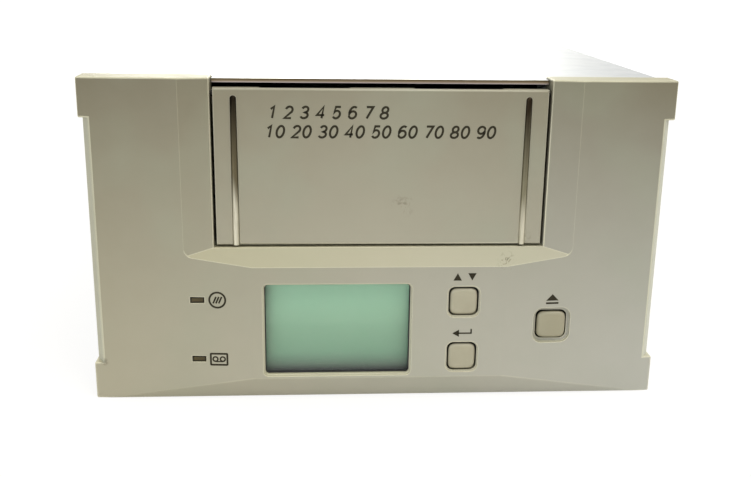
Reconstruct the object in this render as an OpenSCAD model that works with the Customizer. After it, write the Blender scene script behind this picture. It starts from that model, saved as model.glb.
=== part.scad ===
// Tape autoloader for a full-height 5.25-inch bay.
// Modules are drawn with x = 0 on the centre line, y = 0 on the proudest plane of the
// bezel and z = 0 on its lower edge; placed() then moves them to the part's own origin,
// the centre of the footprint.

/* [Chassis] */
// Width over the side walls, set by the bay
chassis_w = 146.05; // [140:0.05:180]
// Height from the bottom plate to the top of the cover
chassis_h = 82.55; // [80:0.05:105]
// Depth from the back of the bezel to the rear panel
chassis_d = 203.2; // [200:0.1:250]
// Sheet steel thickness
sheet = 1; // [0.8:0.1:1.5]

/* [Bezel] */
// How far the bezel stands out at each side of the chassis
side_lip = 1.475; // [0.5:0.025:4]
// How far the bezel reaches below the chassis
bottom_lip = 1.45; // [0:0.05:4]
// How far the bezel reaches above the cover
top_lip = 0.5; // [0:0.1:3]
// Depth of the bezel moulding
bezel_t = 10; // [9:0.5:14]
// Wall of the bezel moulding
bezel_wall = 2.4; // [2:0.1:2.6]
// Half width of the flat middle of the face
face_flat = 33; // [20:1:38]
// Fall of the face towards its sides, mm per mm
face_fall = 0.07; // [0:0.01:0.09]
// Height of the chamfered chin
chin_h = 6.05; // [3:0.05:6.5]
// Fall of the chin, mm per mm
chin_fall = 0.44; // [0.2:0.02:0.6]
// Height of the upper and lower corner blocks beside the side relief
relief_margin = 10; // [6:0.5:20]
// How far the side relief is set in
relief_in = 0.6; // [0.2:0.1:1.2]

/* [Door] */
// Width of the door
door_w = 83.5; // [82:0.1:90]
// Side gap between the door and the bezel
door_gap = 0.75; // [0.3:0.05:1]
// Height of the sill under the door
sill_z = 41.5; // [41:0.5:48]
// Depth of the dish at the door opening
dish_d = 2.2; // [1.5:0.1:2.2]
// Width of the dish beside the opening
dish_side = 7.6; // [5:0.1:9]
// Height of the sloping dish under the opening
dish_sill = 4.75; // [3:0.05:6]
// Radius of the lower corners of the dish
dish_corner = 3; // [1:0.5:5]
// Thickness of the door
door_t = 2.3; // [2:0.1:2.4]
// Radius of the hinge pin
hinge_r = 0.75; // [0.6:0.05:0.8]
// Distance between the two steel strips
strip_pitch = 73.6; // [60:0.2:74]
// Radius of the steel strips
strip_r = 0.8; // [0.5:0.1:0.9]
// Opening angle of the door when the magazine is out
door_open = 100; // [95:1:100]

/* [Display and buttons] */
// Width of the display window
lcd_w = 37.9; // [30:0.1:42]
// Height of the display window
lcd_h = 24.8; // [20:0.1:25]
// Distance from the centre line to the middle of the window, towards the left
lcd_x = 10.95; // [8:0.05:12]
// Height of the middle of the window
lcd_z = 19.5; // [19:0.1:21]
// Width and height of the select and enter buttons
cap = 7.3; // [6:0.1:8]
// Width of the eject button
eject_cap = 7.7; // [6:0.1:8.5]
// Gap round each button cap
cap_gap = 0.3; // [0.15:0.05:0.4]
// Travel of the buttons
press = 0.5; // [0.2:0.1:0.6]

/* [Cassette and magazine] */
// Width of a cassette
cassette_w = 73; // [60:0.5:76]
// Depth of a cassette
cassette_d = 54; // [45:0.5:55]
// Height of a cassette
cassette_h = 10.5; // [8:0.1:10.6]
// Number of tiers in the magazine
tiers = 3; // [2:1:3]
// Play beside a cassette
side_play = 0.4; // [0.2:0.05:0.8]
// Play over a cassette
tier_play = 0.3; // [0.2:0.05:0.5]
// Shelf between two tiers
shelf_t = 0.7; // [0.6:0.1:1]
// Wall of the magazine
mag_wall = 1.8; // [1.5:0.1:2.4]
// Floor of the magazine
mag_floor = 1.2; // [1:0.1:1.5]
// Distance from the face to the front of the magazine
mag_y = 33; // [33:0.5:36]
// Travel of the magazine when ejected
eject_travel = 46; // [40:1:46]

/* [Gears] */
// Module of the eject gears and rack
eject_m = 1; // [0.8:0.1:1.2]
// Teeth of the eject gear
eject_teeth = 18; // [16:1:20]
// Module of the elevator gears
lift_m = 0.8; // [0.6:0.1:0.9]
// Teeth of the lead screw's gear
screw_teeth = 24; // [20:1:26]
// Teeth of both motor pinions
pinion_teeth = 14; // [14:1:16]
// Backlash at the pitch circle
backlash = 0.12; // [0.08:0.02:0.2]

/* [Elevator] */
// Radius of the guide rods
rod_r = 2; // [1.5:0.1:2.4]
// Radius of the lead screw
screw_r = 3; // [2.5:0.1:3.2]
// Distance from the centre line to the guide rods
rod_x = 44; // [43:0.5:46]
// Distance from the centre line to the lead screw
screw_x = 57; // [56:0.5:59]
// Running clearance of shafts in their bores
run_fit = 0.05; // [0.02:0.01:0.09]

/* [Tape drive] */
// Width of the drive frame
drive_w = 102; // [96:0.5:104]
// Radius of the head drum
drum_r = 15; // [12:0.5:15]
// Tilt of the head drum, degrees
drum_tilt = 5; // [0:1:8]
// Distance between the two reel tables
reel_pitch = 30; // [26:0.5:34]
// Travel of the cassette holder down to the reels
holder_travel = 8; // [5:0.5:8]

/* [Mounting holes] */
// Radius of the mounting holes
mount_r = 1.5; // [1.25:0.05:2]
// Distance from the back of the bezel to the first row
mount_y = 47.4; // [40:0.1:60]
// Distance between the two rows
mount_pitch = 79.25; // [70:0.05:90]
// Height of the lower side holes above the bottom plate
side_low = 9.9; // [8:0.1:12]
// Height of the upper side holes above the bottom plate
side_high = 21.84; // [20:0.02:24]
// Distance between the bottom holes across the chassis
bottom_pitch = 139.7; // [130:0.1:139.7]

/* [Hidden] */

$fn = 48;
eps = 0.01;

// Overall sizes and levels
total_d = bezel_t + chassis_d;
half_w = chassis_w / 2;
inner_w = half_w - sheet;
bezel_half = half_w + side_lip;
base_z = bottom_lip;
floor_z = base_z + sheet;
top_z = base_z + chassis_h;
roof_z = top_z - sheet;
bezel_h = top_z + top_lip;
rear_y = total_d;

// Door opening and dish
open_x = door_w / 2 + door_gap;
dish_x = open_x + dish_side;
dish_z = sill_z - dish_sill;
door_z0 = sill_z + 0.6;
door_top = roof_z - 1;
door_y = dish_d + 0.5;
door_back = door_y + door_t;
knuckle_r = 1.6;
hinge_y = door_y + knuckle_r + 0.5;
hinge_z = door_top - 1.6;
jamb = 4;
strip_top = door_top - 2.6;
lug_zs = [20, 64];
cover_ys = [bezel_t + 24, bezel_t + 100, rear_y - 16];
cap_edge = 0.6;
scsi_x = -30;
scsi_w = 62;
scsi_z = floor_z + 10;
power_x = 50;
jumper_x = 20;

// Magazine
tier_pitch = cassette_h + tier_play + shelf_t;
mag_half = cassette_w / 2 + side_play + mag_wall;
mag_z = sill_z + 0.8;
mag_h = mag_floor + tiers * tier_pitch;
mag_front = 2.5;
mag_d = mag_front + 2 * cassette_d + 1.5;
mag_rear = mag_y + mag_d;
deck_t = 1.2;
deck_z = mag_z - 1.3;
deck_y0 = bezel_t + 14;
function tier_z(k) = mag_z + mag_floor + k * tier_pitch;

// Eject train: rack on the magazine, gear and pinion above the deck
stub = 0.8;
dedendum = 1.1;
eject_r = eject_m * eject_teeth / 2;
pinion_r = eject_m * pinion_teeth / 2;
rack_root = mag_half;
rack_pitch_x = rack_root + dedendum * eject_m;
gear_x = rack_pitch_x + eject_r;
gear_y = mag_y + 42;
gear_z = deck_z + 3;
gear_t = 4;
eject_motor_x = gear_x + (eject_r + pinion_r) * cos(45);
eject_motor_y = gear_y + (eject_r + pinion_r) * sin(45);
eject_motor_r = 8;

// Elevator
lift_y0 = mag_rear + 2;
lift_d = cassette_d + 2;
lift_y = lift_y0 + lift_d / 2 - 3;
lift_rest = floor_z + 19.05;
lift_travel = tier_z(tiers - 1) - lift_rest;
lift_wall = 1.2;
lift_half = cassette_w / 2 + side_play + lift_wall;
screw_gear_r = lift_m * screw_teeth / 2;
lift_pinion_r = lift_m * pinion_teeth / 2;
lift_dist = screw_gear_r + lift_pinion_r;
lift_motor_turn = 75;
lift_motor_x = screw_x + lift_dist * cos(lift_motor_turn);
lift_motor_y = lift_y + lift_dist * sin(lift_motor_turn);
lift_motor_r = 7;
lift_gear_z = floor_z + 2.6;
lift_gear_t = 4;
bracket_z = lift_gear_z + lift_gear_t + 1.9;
bridge_z = roof_z - 3;
sled_stroke = 42;

// Drive
drive_half = drive_w / 2;
drive_y0 = bezel_t + 16;
drive_y1 = mag_rear - 2;
drive_z = floor_z + 4.6;
plate_z = drive_z + 2;
drum_x = -4;
drum_y = drive_y0 + 21;
capstan_x = drum_x + 28;
capstan_y = drum_y + 22;
capstan_r = 1.25;
roller_r = 3.5;
arm_x = capstan_x + 17.8;
arm_y = capstan_y + 0.8;
arm_l = 12.8;
roller_rest = 154;
roller_x = arm_x + arm_l * cos(roller_rest);
roller_y = arm_y + arm_l * sin(roller_rest);
arm_z = plate_z + 7.4;
isolator_xs = [-1, 1] * (drive_half - 7);
isolator_ys = [drive_y0 + 8, drive_y1 - 8];
holder_half = cassette_w / 2 + side_play + 0.8;
holder_y1 = drive_y1 - 0.5;
holder_y0 = holder_y1 - cassette_d - 1;
reel_y = holder_y1 - cassette_d / 2 + 1;
holder_pins = [holder_y0 + 14, holder_y0 + 34];
drive_board_z = deck_z - 6;

// Control board behind the face
board_y = bezel_wall + 7.6;
board_t = 1.6;
board_half = 60;
board_z0 = 4.2;
hollow_z = 3.2;
lcd_seat = 1.6;
board_back = rear_y - 7.4;
button_x = 21.95;
select_z = 27.15;
enter_z = 11.75;
eject_x = 45.75;
eject_z = 20.15;
lens_x = -47.05;
lens_zs = [11.55, 27.8];
lens_w = 3.7;
lens_h = 1.7;
post_x = 56;
post_zs = [9, 33];

function face_y(x) = max(0, face_fall * (abs(x) - face_flat));

// Moves a module's local frame to the origin of the part
module placed() translate([0, -total_d / 2, 0]) children();

// Extrudes a drawing of (x, z) along y, of (y, z) along x, or of (x, y) along z
module along_y(y0, y1) translate([0, y1, 0]) rotate([90, 0, 0]) linear_extrude(y1 - y0) children();
module along_x(x0, x1) translate([x0, 0, 0]) rotate([90, 0, 90]) linear_extrude(x1 - x0) children();
module along_z(z0, z1) translate([0, 0, z0]) linear_extrude(z1 - z0) children();

// A block between two corners
module block(a, b) translate(a) cube(b - a);

// A cylinder along z, along y or along x
module rod_z(x, y, z0, z1, r) translate([x, y, z0]) cylinder(h = z1 - z0, r = r);
module rod_y(x, z, y0, y1, r) translate([x, y0, z]) rotate([-90, 0, 0]) cylinder(h = y1 - y0, r = r);
module rod_x(y, z, x0, x1, r) translate([x0, y, z]) rotate([0, 90, 0]) cylinder(h = x1 - x0, r = r);

// A rectangle with rounded corners, centred on (x, y)
module rounded(x, y, w, h, r) translate([x, y]) {
    if (w > 2 * r) square([w - 2 * r, h], center = true);
    if (h > 2 * r) square([w, h - 2 * r], center = true);
    for (i = [-1, 1], j = [-1, 1]) translate([i * (w / 2 - r), j * (h / 2 - r)]) circle(r);
}

module both_sides() for (side = [-1, 1]) scale_side(side) children();
module scale_side(side) if (side > 0) children(); else mirror([1, 0, 0]) children();

// Involute gear outline with stub teeth; tooth 0 points along +x
function involute(a) = tan(a) * 180 / PI - a;
function flank_turn(rb, r) = involute(acos(min(1, rb / r)));
module gear_outline(m, n) {
    pitch_r = m * n / 2;
    base_r = pitch_r * cos(20);
    tip_r = pitch_r + stub * m;
    root_r = pitch_r - dedendum * m;
    half_tooth = (PI * m / 2 - backlash) / 2 / pitch_r * 180 / PI + involute(20);
    radii = [for (i = [0:3]) max(base_r, root_r) + (tip_r - max(base_r, root_r)) * i / 3];
    flank = [for (r = radii) [r, half_tooth - flank_turn(base_r, r)]];
    side = concat([[root_r, half_tooth]], flank);
    tooth = concat([for (p = side) [p[0], -p[1]]], [for (i = [len(side) - 1:-1:0]) side[i]]);
    polygon([for (k = [0:n - 1], p = tooth)
             p[0] * [cos(p[1] + k * 360 / n), sin(p[1] + k * 360 / n)]]);
}

// Turn of a second gear that meshes with a first one, at angle phi from it
function mesh_turn(first_turn, phi, first_n, second_n) =
    phi + 180 - ((first_turn - phi) * first_n / 360 + 0.5) * 360 / second_n;

// ---------------------------------------------------------------- bezel and door

module bezel_block() difference() {
    along_z(0, bezel_h) polygon([
        [-bezel_half, face_y(bezel_half)], [-face_flat, 0], [face_flat, 0],
        [bezel_half, face_y(bezel_half)], [bezel_half, bezel_t], [-bezel_half, bezel_t]]);
    along_x(-bezel_half - 1, bezel_half + 1)
        polygon([[-1, chin_h + 1 / chin_fall], [-1, -1], [chin_fall * (chin_h + 1), -1]]);
    dish_cut();
    both_sides() along_z(relief_margin, bezel_h - relief_margin)
        polygon([[bezel_half - 2.6, face_y(bezel_half) - 0.4], [bezel_half - relief_in, 5.2],
                 [bezel_half - relief_in, bezel_t + 1], [bezel_half + 2, bezel_t + 1],
                 [bezel_half + 2, face_y(bezel_half) - 0.4]]);
}

// The dish: a slope under the door meets a shallow bevel at each side in a mitre
module dish_cut() {
    rise = dish_sill / dish_d;
    bevel = (dish_d - face_y(dish_x)) / dish_side;
    reach = dish_x + (face_y(dish_x) + 1) / bevel;
    intersection() {
        along_x(-bezel_half, bezel_half)
            polygon([[-2, dish_z - 2 * rise], [dish_d + 4, dish_z + (dish_d + 4) * rise],
                     [dish_d + 4, bezel_h + 40], [-2, bezel_h + 40]]);
        along_z(0, bezel_h + 2)
            polygon([[-reach, -1], [reach, -1], [open_x, dish_d], [-open_x, dish_d]]);
        along_y(-1, dish_d + 5) dish_outline(0.08);
    }
}

// Outline of the dish on the face, grown by a margin: its lower corners are round
module dish_outline(margin) {
    slope = atan(face_fall * dish_sill / dish_d);
    x = dish_x + margin - dish_corner;
    z = dish_z - margin + (x - face_flat) * tan(slope) + dish_corner / cos(slope);
    corner = [for (t = [0:6]) let (a = -90 + slope + t * (90 - slope) / 6)
        [x + dish_corner * cos(a), z + dish_corner * sin(a)]];
    half = concat([[face_flat, dish_z - margin]], corner, [[dish_x + margin, bezel_h + 3]]);
    polygon(concat(half, [for (k = [len(half) - 1:-1:0]) [-half[k][0], half[k][1]]]));
}

module bezel_hollow() {
    along_z(hollow_z, dish_z - 0.25) polygon([
        [-bezel_half + bezel_wall, face_y(bezel_half - bezel_wall) + bezel_wall],
        [-face_flat, bezel_wall], [face_flat, bezel_wall],
        [bezel_half - bezel_wall, face_y(bezel_half - bezel_wall) + bezel_wall],
        [bezel_half - bezel_wall, bezel_t + 1], [-bezel_half + bezel_wall, bezel_t + 1]]);
    block([-open_x, dish_d + 2.6, dish_z - 1], [open_x, bezel_t + 1, sill_z - 2.2]);
    both_sides() block([open_x + jamb, dish_d + 2.6, dish_z - 1],
                       [bezel_half - bezel_wall, bezel_t + 1, bezel_h - bezel_wall]);
}

module button_hole(x, z, w, h, collar, depth) {
    along_y(-1, bezel_t) rounded(x, z, w + 2 * cap_gap, h + 2 * cap_gap, 1.7);
    along_y(-1, face_y(x) + depth)
        rounded(x, z, w + 2 * cap_gap + 2 * collar, h + 2 * cap_gap + 2 * collar, 1.7 + collar);
}

module front_bezel() placed() color("#c9c0b4") difference() {
    union() {
        difference() {
            bezel_block();
            bezel_hollow();
        }
        for (x = [-post_x, post_x], z = post_zs) rod_y(x, z, 3.5, board_y, 2.6);
        both_sides() for (z = lug_zs)
            block([inner_w - 2.7, 4.5, z - 6], [inner_w - 0.08, bezel_t + 12, z + 6]);
    }
    block([-open_x, -1, sill_z], [open_x, bezel_t + 1, bezel_h + 1]);
    along_y(-1, bezel_t) rounded(-lcd_x, lcd_z, lcd_w, lcd_h, 1);
    along_y(-1, 0.6) rounded(-lcd_x, lcd_z, lcd_w + 0.7, lcd_h + 0.7, 1.3);
    button_hole(button_x, select_z, cap, cap, 0.35, 0.5);
    button_hole(button_x, enter_z, cap, cap, 0.35, 0.5);
    button_hole(eject_x, eject_z, eject_cap, eject_cap - 0.3, 0.9, 1.1);
    for (z = lens_zs) along_y(-1, bezel_t) translate([lens_x - lens_w / 2, z - lens_h / 2])
        square([lens_w, lens_h]);
    for (x = [-post_x, post_x], z = post_zs) rod_y(x, z, board_y - 4, board_y + 1, 0.9);
    both_sides() {
        for (z = lug_zs) rod_x(bezel_t + 7, z, inner_w - 4, inner_w + 1, 1.1);
        rod_x(hinge_y, hinge_z, open_x - 1, open_x + 3.2, hinge_r);
    }
}
module door_knuckle(x0, x1) difference() {
    union() {
        rod_x(hinge_y, hinge_z, x0, x1, knuckle_r);
        block([x0, hinge_y - 0.9, hinge_z - 2], [x1, hinge_y + knuckle_r, hinge_z]);
    }
    rod_x(hinge_y, hinge_z, x0 - 1, x1 + 1, hinge_r + run_fit);
}

module strip_form(r) for (x = [-1, 1]) translate([x * strip_pitch / 2, door_y + 0.25, 0]) {
    rod_z(0, 0, door_z0, strip_top, r);
    translate([0, 0, strip_top]) sphere(r);
}

// The top of the door is thinner, because the hinge pin runs behind it
module magazine_door() placed() color("#cfc7bb") {
    lip_back = hinge_y - hinge_r - 0.5;
    difference() {
        union() {
            along_x(-door_w / 2, door_w / 2) polygon([
                [door_y, door_z0 + 0.3], [door_y + 0.3, door_z0], [door_back, door_z0],
                [door_back, hinge_z - 2.4], [lip_back, hinge_z - 1.6],
                [lip_back, door_top], [door_y + 0.3, door_top], [door_y, door_top - 0.3]]);
            both_sides() door_knuckle(open_x - 12, door_w / 2);
            door_knuckle(-8, 8);
        }
        strip_form(strip_r + 0.03);
        block([-strip_pitch / 2 + 3, door_back - 0.7, door_z0 + 4],
              [strip_pitch / 2 - 3, door_back + 1, hinge_z - 6]);
    }
}

module door_skid_strips() placed() color("silver") strip_form(strip_r);

module door_hinge_pin() placed() color("gainsboro")
    rod_x(hinge_y, hinge_z, -open_x - 3, open_x + 3, hinge_r);

// Closing spring: four turns round the pin between two knuckles
module door_spring() placed() color("dimgray") {
    wire = 0.2;
    coil = hinge_r + run_fit + wire;
    for (k = [0:4]) translate([10 + k * 2.05 * wire, hinge_y, hinge_z]) rotate([0, 90, 0])
        rotate_extrude() translate([coil, 0]) circle(wire);
    rod_y(10, hinge_z - coil, hinge_y, hinge_y + 3, wire);
}

// ---------------------------------------------------------------- display and controls

module lcd_window() placed() color("#dfe9e4", 0.35) {
    along_y(bezel_wall + 0.05, bezel_wall + 1.2)
        rounded(-lcd_x, lcd_z, lcd_w + 2.4, lcd_h + 2.4, 1);
}

module lcd_panel() placed() color("#8fb89a")
    along_y(bezel_wall + 1.25, bezel_wall + 3.4)
        translate([-lcd_x - lcd_w / 2 - lcd_seat, lcd_z - lcd_h / 2 - lcd_seat])
            square([lcd_w + 2 * lcd_seat, lcd_h + 2 * lcd_seat]);

module lcd_frame() placed() color("silver") {
    x0 = -lcd_x - lcd_w / 2 - lcd_seat;
    w = lcd_w + 2 * lcd_seat;
    h = lcd_h + 2 * lcd_seat;
    z0 = lcd_z - lcd_h / 2 - lcd_seat;
    difference() {
        along_y(bezel_wall + 1.8, board_y) translate([x0 - 0.6, z0 - 0.6])
            square([w + 1.2, h + 1.2]);
        along_y(bezel_wall, board_y + 1) translate([x0, z0]) square([w, h]);
    }
    along_y(bezel_wall + 3.4, bezel_wall + 4.2) translate([x0, z0]) square([w, h]);
}

module control_board() placed() color("#2f6b46") difference() {
    union() {
        along_y(board_y, board_y + board_t) translate([-board_half, board_z0])
            square([2 * board_half, dish_z - 0.8 - board_z0]);
        block([-34, board_y + board_t, 8], [-22, board_y + board_t + 2, 20]);
        block([6, board_y + board_t, 10], [14, board_y + board_t + 1.4, 24]);
        block([-14, board_y + board_t, 28], [2, board_y + board_t + 3.4, 32]);
    }
    for (x = [-post_x, post_x], z = post_zs) rod_y(x, z, board_y - 1, board_y + 4, 1.2);
}

module board_screws() placed() color("gainsboro")
    for (x = [-post_x, post_x], z = post_zs) {
        rod_y(x, z, board_y - 3.5, board_y + board_t, 0.9);
        rod_y(x, z, board_y + board_t, board_y + board_t + 1.2, 2.1);
    }

module tact_switches() placed() color("#2a2a2c")
    for (p = [[button_x, select_z], [button_x, enter_z], [eject_x, eject_z]]) {
        block([p[0] - 3, board_y - 3.6, p[1] - 3], [p[0] + 3, board_y, p[1] + 3]);
        rod_y(p[0], p[1], board_y - 4.2, board_y - 3.6, 1.7);
    }

module status_leds() placed() color("#7f8a3a")
    for (z = lens_zs) block([lens_x - 1.5, board_y - 1.2, z - 0.8], [lens_x + 1.5, board_y, z + 0.8]);

// Light pipes: a lens in the face, a shoulder behind it and a stem to the lamp
module status_lenses() placed() color("#5b5533")
    for (z = lens_zs) {
        along_y(face_y(lens_x) + 0.25, board_y - 1.4)
            translate([lens_x - lens_w / 2 + 0.1, z - lens_h / 2 + 0.1])
            square([lens_w - 0.2, lens_h - 0.2]);
        block([lens_x - 3, face_y(lens_x - 3) + bezel_wall + 0.02, z - 1.8],
              [lens_x + 3, face_y(lens_x - 3) + bezel_wall + 0.8, z + 1.8]);
    }

// A push button: rounded cap, retaining flange behind the wall and a stem to its switch
module button(x, z, w, h) {
    front = face_y(x) + 0.05;
    flange = face_y(abs(x) + w / 2 + 1) + bezel_wall + 0.2;
    intersection() {
        along_y(front, flange + 0.1) rounded(x, z, w, h, 1.5);
        along_x(x - w, x + w) soft_front(z, h, front, flange + 0.1);
        along_z(z - h, z + h) soft_plan(x, w, front, flange + 0.1);
    }
    along_y(flange, flange + 0.6) rounded(x, z, w + 1.6, h + 1.6, 1.5);
    rod_y(x, z, flange, board_y - 4.3 - press, 1.6);
}

// A cap's profile with its front edges rounded, as (y, z) and as (x, y)
module soft_front(z, h, y0, y1) translate([y0, z - h / 2]) union() {
    translate([cap_edge, 0]) square([y1 - y0 - cap_edge, h]);
    translate([0, cap_edge]) square([y1 - y0, h - 2 * cap_edge]);
    for (k = [cap_edge, h - cap_edge]) translate([cap_edge, k]) circle(cap_edge);
}
module soft_plan(x, w, y0, y1) translate([x - w / 2, y0]) union() {
    translate([0, cap_edge]) square([w, y1 - y0 - cap_edge]);
    translate([cap_edge, 0]) square([w - 2 * cap_edge, y1 - y0]);
    for (k = [cap_edge, w - cap_edge]) translate([k, cap_edge]) circle(cap_edge);
}

module select_button() placed() color("#d8d0c4") button(button_x, select_z, cap, cap);
module enter_button() placed() color("#d8d0c4") button(button_x, enter_z, cap, cap);
module eject_button() placed() color("#d8d0c4") button(eject_x, eject_z, eject_cap, eject_cap - 0.3);

// ---------------------------------------------------------------- chassis

module side_holes(r) for (y = [0, mount_pitch], z = [side_low, side_high])
    rod_x(bezel_t + mount_y + y, base_z + z, inner_w - 1, half_w + 1, r);

module chassis_tray() placed() color("#b9bcbd") difference() {
    union() {
        block([-half_w, bezel_t, base_z], [half_w, rear_y, floor_z]);
        both_sides() block([inner_w, bezel_t, base_z], [half_w, rear_y, roof_z]);
        both_sides() block([inner_w - 8, rear_y - sheet, floor_z], [inner_w, rear_y, roof_z - 2]);
    }
    both_sides() {
        side_holes(mount_r);
        for (y = [0, mount_pitch])
            rod_z(bottom_pitch / 2, bezel_t + mount_y + y, base_z - 1, floor_z + 1, mount_r);
        for (z = lug_zs) rod_x(bezel_t + 7, z, inner_w - 1, half_w + 1, 2.4);
        for (y = cover_ys) rod_x(y, roof_z - 5, inner_w - 1, half_w + 1, 2.4);
        for (k = [0:5]) along_x(inner_w - 1, half_w + 1)
            rounded(lift_y0 + 2 + k * 7, sill_z + 20, 2.4, 16, 1.2);
    }
    for (k = [-3:3]) along_z(base_z - 1, floor_z + 1) rounded(k * 9, drum_y + 8, 3, 26, 1.5);
}

module top_cover() placed() color("#c4c7c8") difference() {
    union() {
        block([-half_w, bezel_t, roof_z], [half_w, rear_y, top_z]);
        block([-open_x + 0.3, hinge_y + 1, roof_z], [open_x - 0.3, bezel_t, top_z]);
        both_sides() block([inner_w - 0.08 - sheet, bezel_t + 14, roof_z - 9],
                           [inner_w - 0.08, rear_y - 2, roof_z]);
    }
    both_sides() for (y = cover_ys) rod_x(y, roof_z - 5, inner_w - 3, half_w + 1, 1.1);
}

module rear_panel() placed() color("#b9bcbd") difference() {
    block([-inner_w + 8.05, rear_y - sheet, floor_z], [inner_w - 8.05, rear_y, roof_z]);
    block([scsi_x - scsi_w / 2, rear_y - 3, scsi_z - 5.2],
          [scsi_x + scsi_w / 2, rear_y + 1, scsi_z + 5.2]);
    block([power_x - 11.5, rear_y - 3, scsi_z - 5.2], [power_x + 11.5, rear_y + 1, scsi_z + 5.2]);
    block([jumper_x - 9, rear_y - 3, scsi_z - 3], [jumper_x + 9, rear_y + 1, scsi_z + 3]);
    for (k = [0:7], j = [0, 1]) along_y(rear_y - 3, rear_y + 1)
        rounded(-28 + k * 8, sill_z + 4 + j * 17, 2.6, 13, 1.3);
}

// Flush screws through the side walls: four in the bezel's lugs, six in the cover's flanges
module chassis_screws() placed() color("gainsboro") both_sides() {
    for (z = lug_zs) {
        rod_x(bezel_t + 7, z, inner_w + 0.02, half_w, 2.35);
        rod_x(bezel_t + 7, z, inner_w - 4, inner_w + 0.1, 1.05);
    }
    for (y = cover_ys) {
        rod_x(y, roof_z - 5, inner_w + 0.02, half_w, 2.35);
        rod_x(y, roof_z - 5, inner_w - 2.4, inner_w + 0.1, 1.05);
    }
}

// ---------------------------------------------------------------- magazine and its drive

module magazine_deck() placed() color("#aeb1b2") difference() {
    union() {
        block([-inner_w + 0.05, deck_y0, deck_z - deck_t], [inner_w - 0.05, mag_rear, deck_z]);
        both_sides() block([inner_w - 0.05 - deck_t, deck_y0, deck_z - 9],
                           [inner_w - 0.05, mag_rear, deck_z - deck_t]);
        rod_z(gear_x, gear_y, deck_z, gear_z - 0.3, 3);
        rod_z(gear_x, gear_y, deck_z, gear_z + gear_t + 1, 1.5);
    }
    rod_z(eject_motor_x, eject_motor_y, deck_z - 5, deck_z + 1, 3);
    for (k = [-1, 1])
        block([-18 + k * 14, deck_y0 + 14, deck_z - 3], [-2 + k * 14 + 8, mag_rear - 14, deck_z + 1]);
}

// One guide rail: a runner under the magazine's edge and a low wall beside it
module rail() {
    block([mag_half - 6, deck_y0, deck_z], [mag_half + 0.15, mag_rear, mag_z - 0.1]);
    block([mag_half + 0.15, deck_y0, deck_z], [mag_half + 1.4, mag_rear, mag_z + 1]);
}
module left_rail() placed() color("#e4e2dc") mirror([1, 0, 0]) rail();
module right_rail() placed() color("#e4e2dc") rail();

module magazine_shell() placed() color("#55585b") difference() {
    inner = mag_half - mag_wall;
    union() {
        block([-mag_half, mag_y, mag_z], [mag_half, mag_rear, mag_z + mag_h]);
        rack();
    }
    // Each tier is a slot open at the rear, with a ledge at each side and an open middle
    for (k = [0:tiers - 1])
        block([-inner, mag_y + mag_front, tier_z(k)],
              [inner, mag_rear + 1, tier_z(k) + cassette_h + tier_play]);
    block([-inner + 9, mag_y + mag_front + 5, mag_z + mag_floor + 1],
          [inner - 9, mag_rear + 1, mag_z + mag_h + 1]);
    block([-12, mag_y + mag_front + 12, mag_z - 1], [12, mag_rear - 12, mag_z + 3]);
    // Windows in the side walls, one row for each cassette
    for (j = [0, 1])
        translate([0, mag_y + mag_front + (j + 0.5) * cassette_d + j, mag_z + mag_h / 2 + 5])
        block([-mag_half - 1, -14, -8], [-mag_half + mag_wall + 1, 14, 8]);
    // Finger grip in the front
    along_y(mag_y - 1, mag_y + 1.4) rounded(0, mag_z + mag_h / 2, 40, 14, 4);
}

module rack() {
    pitch = PI * eject_m;
    half_root = (pitch - backlash) / 4 + dedendum * eject_m * tan(20);
    half_tip = (pitch - backlash) / 4 - stub * eject_m * tan(20);
    tip = rack_pitch_x + stub * eject_m;
    for (k = [-2:floor(eject_travel / pitch) + 1]) translate([0, gear_y + (k + 0.5) * pitch, 0])
        along_z(gear_z - 0.4, gear_z + gear_t + 0.4)
            polygon([[rack_root - 0.5, -half_root], [rack_root, -half_root], [tip, -half_tip],
                     [tip, half_tip], [rack_root, half_root], [rack_root - 0.5, half_root]]);
}

// A cassette: shell with side grooves, hub holes, a lid line and a sliding cover
module cassette(y0, z0) translate([0, y0, z0]) color("#3c3f45") difference() {
    union() {
        block([-cassette_w / 2, 1.2, 0], [cassette_w / 2, cassette_d, cassette_h]);
        block([-cassette_w / 2 + 1, 0, 0.8], [cassette_w / 2 - 1, 1.2, cassette_h - 0.6]);
    }
    both_sides() block([cassette_w / 2 - 1, 16, 3], [cassette_w / 2 + 1, cassette_d + 1, 4.6]);
    for (x = [-1, 1]) rod_z(x * reel_pitch / 2, cassette_d / 2 + 1, -1, 8, 4.4);
    block([-cassette_w / 2 - 1, 12, cassette_h - 0.4], [cassette_w / 2 + 1, 12.8, cassette_h + 1]);
    along_z(cassette_h - 0.4, cassette_h + 1) rounded(0, cassette_d / 2 + 8, 52, 26, 2);
}

function stored_y(k) = mag_y + mag_front + 0.3 + (k % 2) * (cassette_d + 0.4);
module stored(k) placed() cassette(stored_y(k), tier_z(floor(k / 2)));

module eject_gear() placed() color("#e9e6dc") difference() {
    translate([gear_x, gear_y, gear_z]) rotate([0, 0, 180]) {
        linear_extrude(gear_t) gear_outline(eject_m, eject_teeth);
        cylinder(h = gear_t + 0.6, r = 4);
    }
    rod_z(gear_x, gear_y, gear_z - 1, gear_z + gear_t + 2, 1.5 + run_fit);
    for (a = [0:60:300])
        rod_z(gear_x + 5.8 * cos(a), gear_y + 5.8 * sin(a), gear_z - 1, gear_z + gear_t + 1, 1.2);
}

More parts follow.
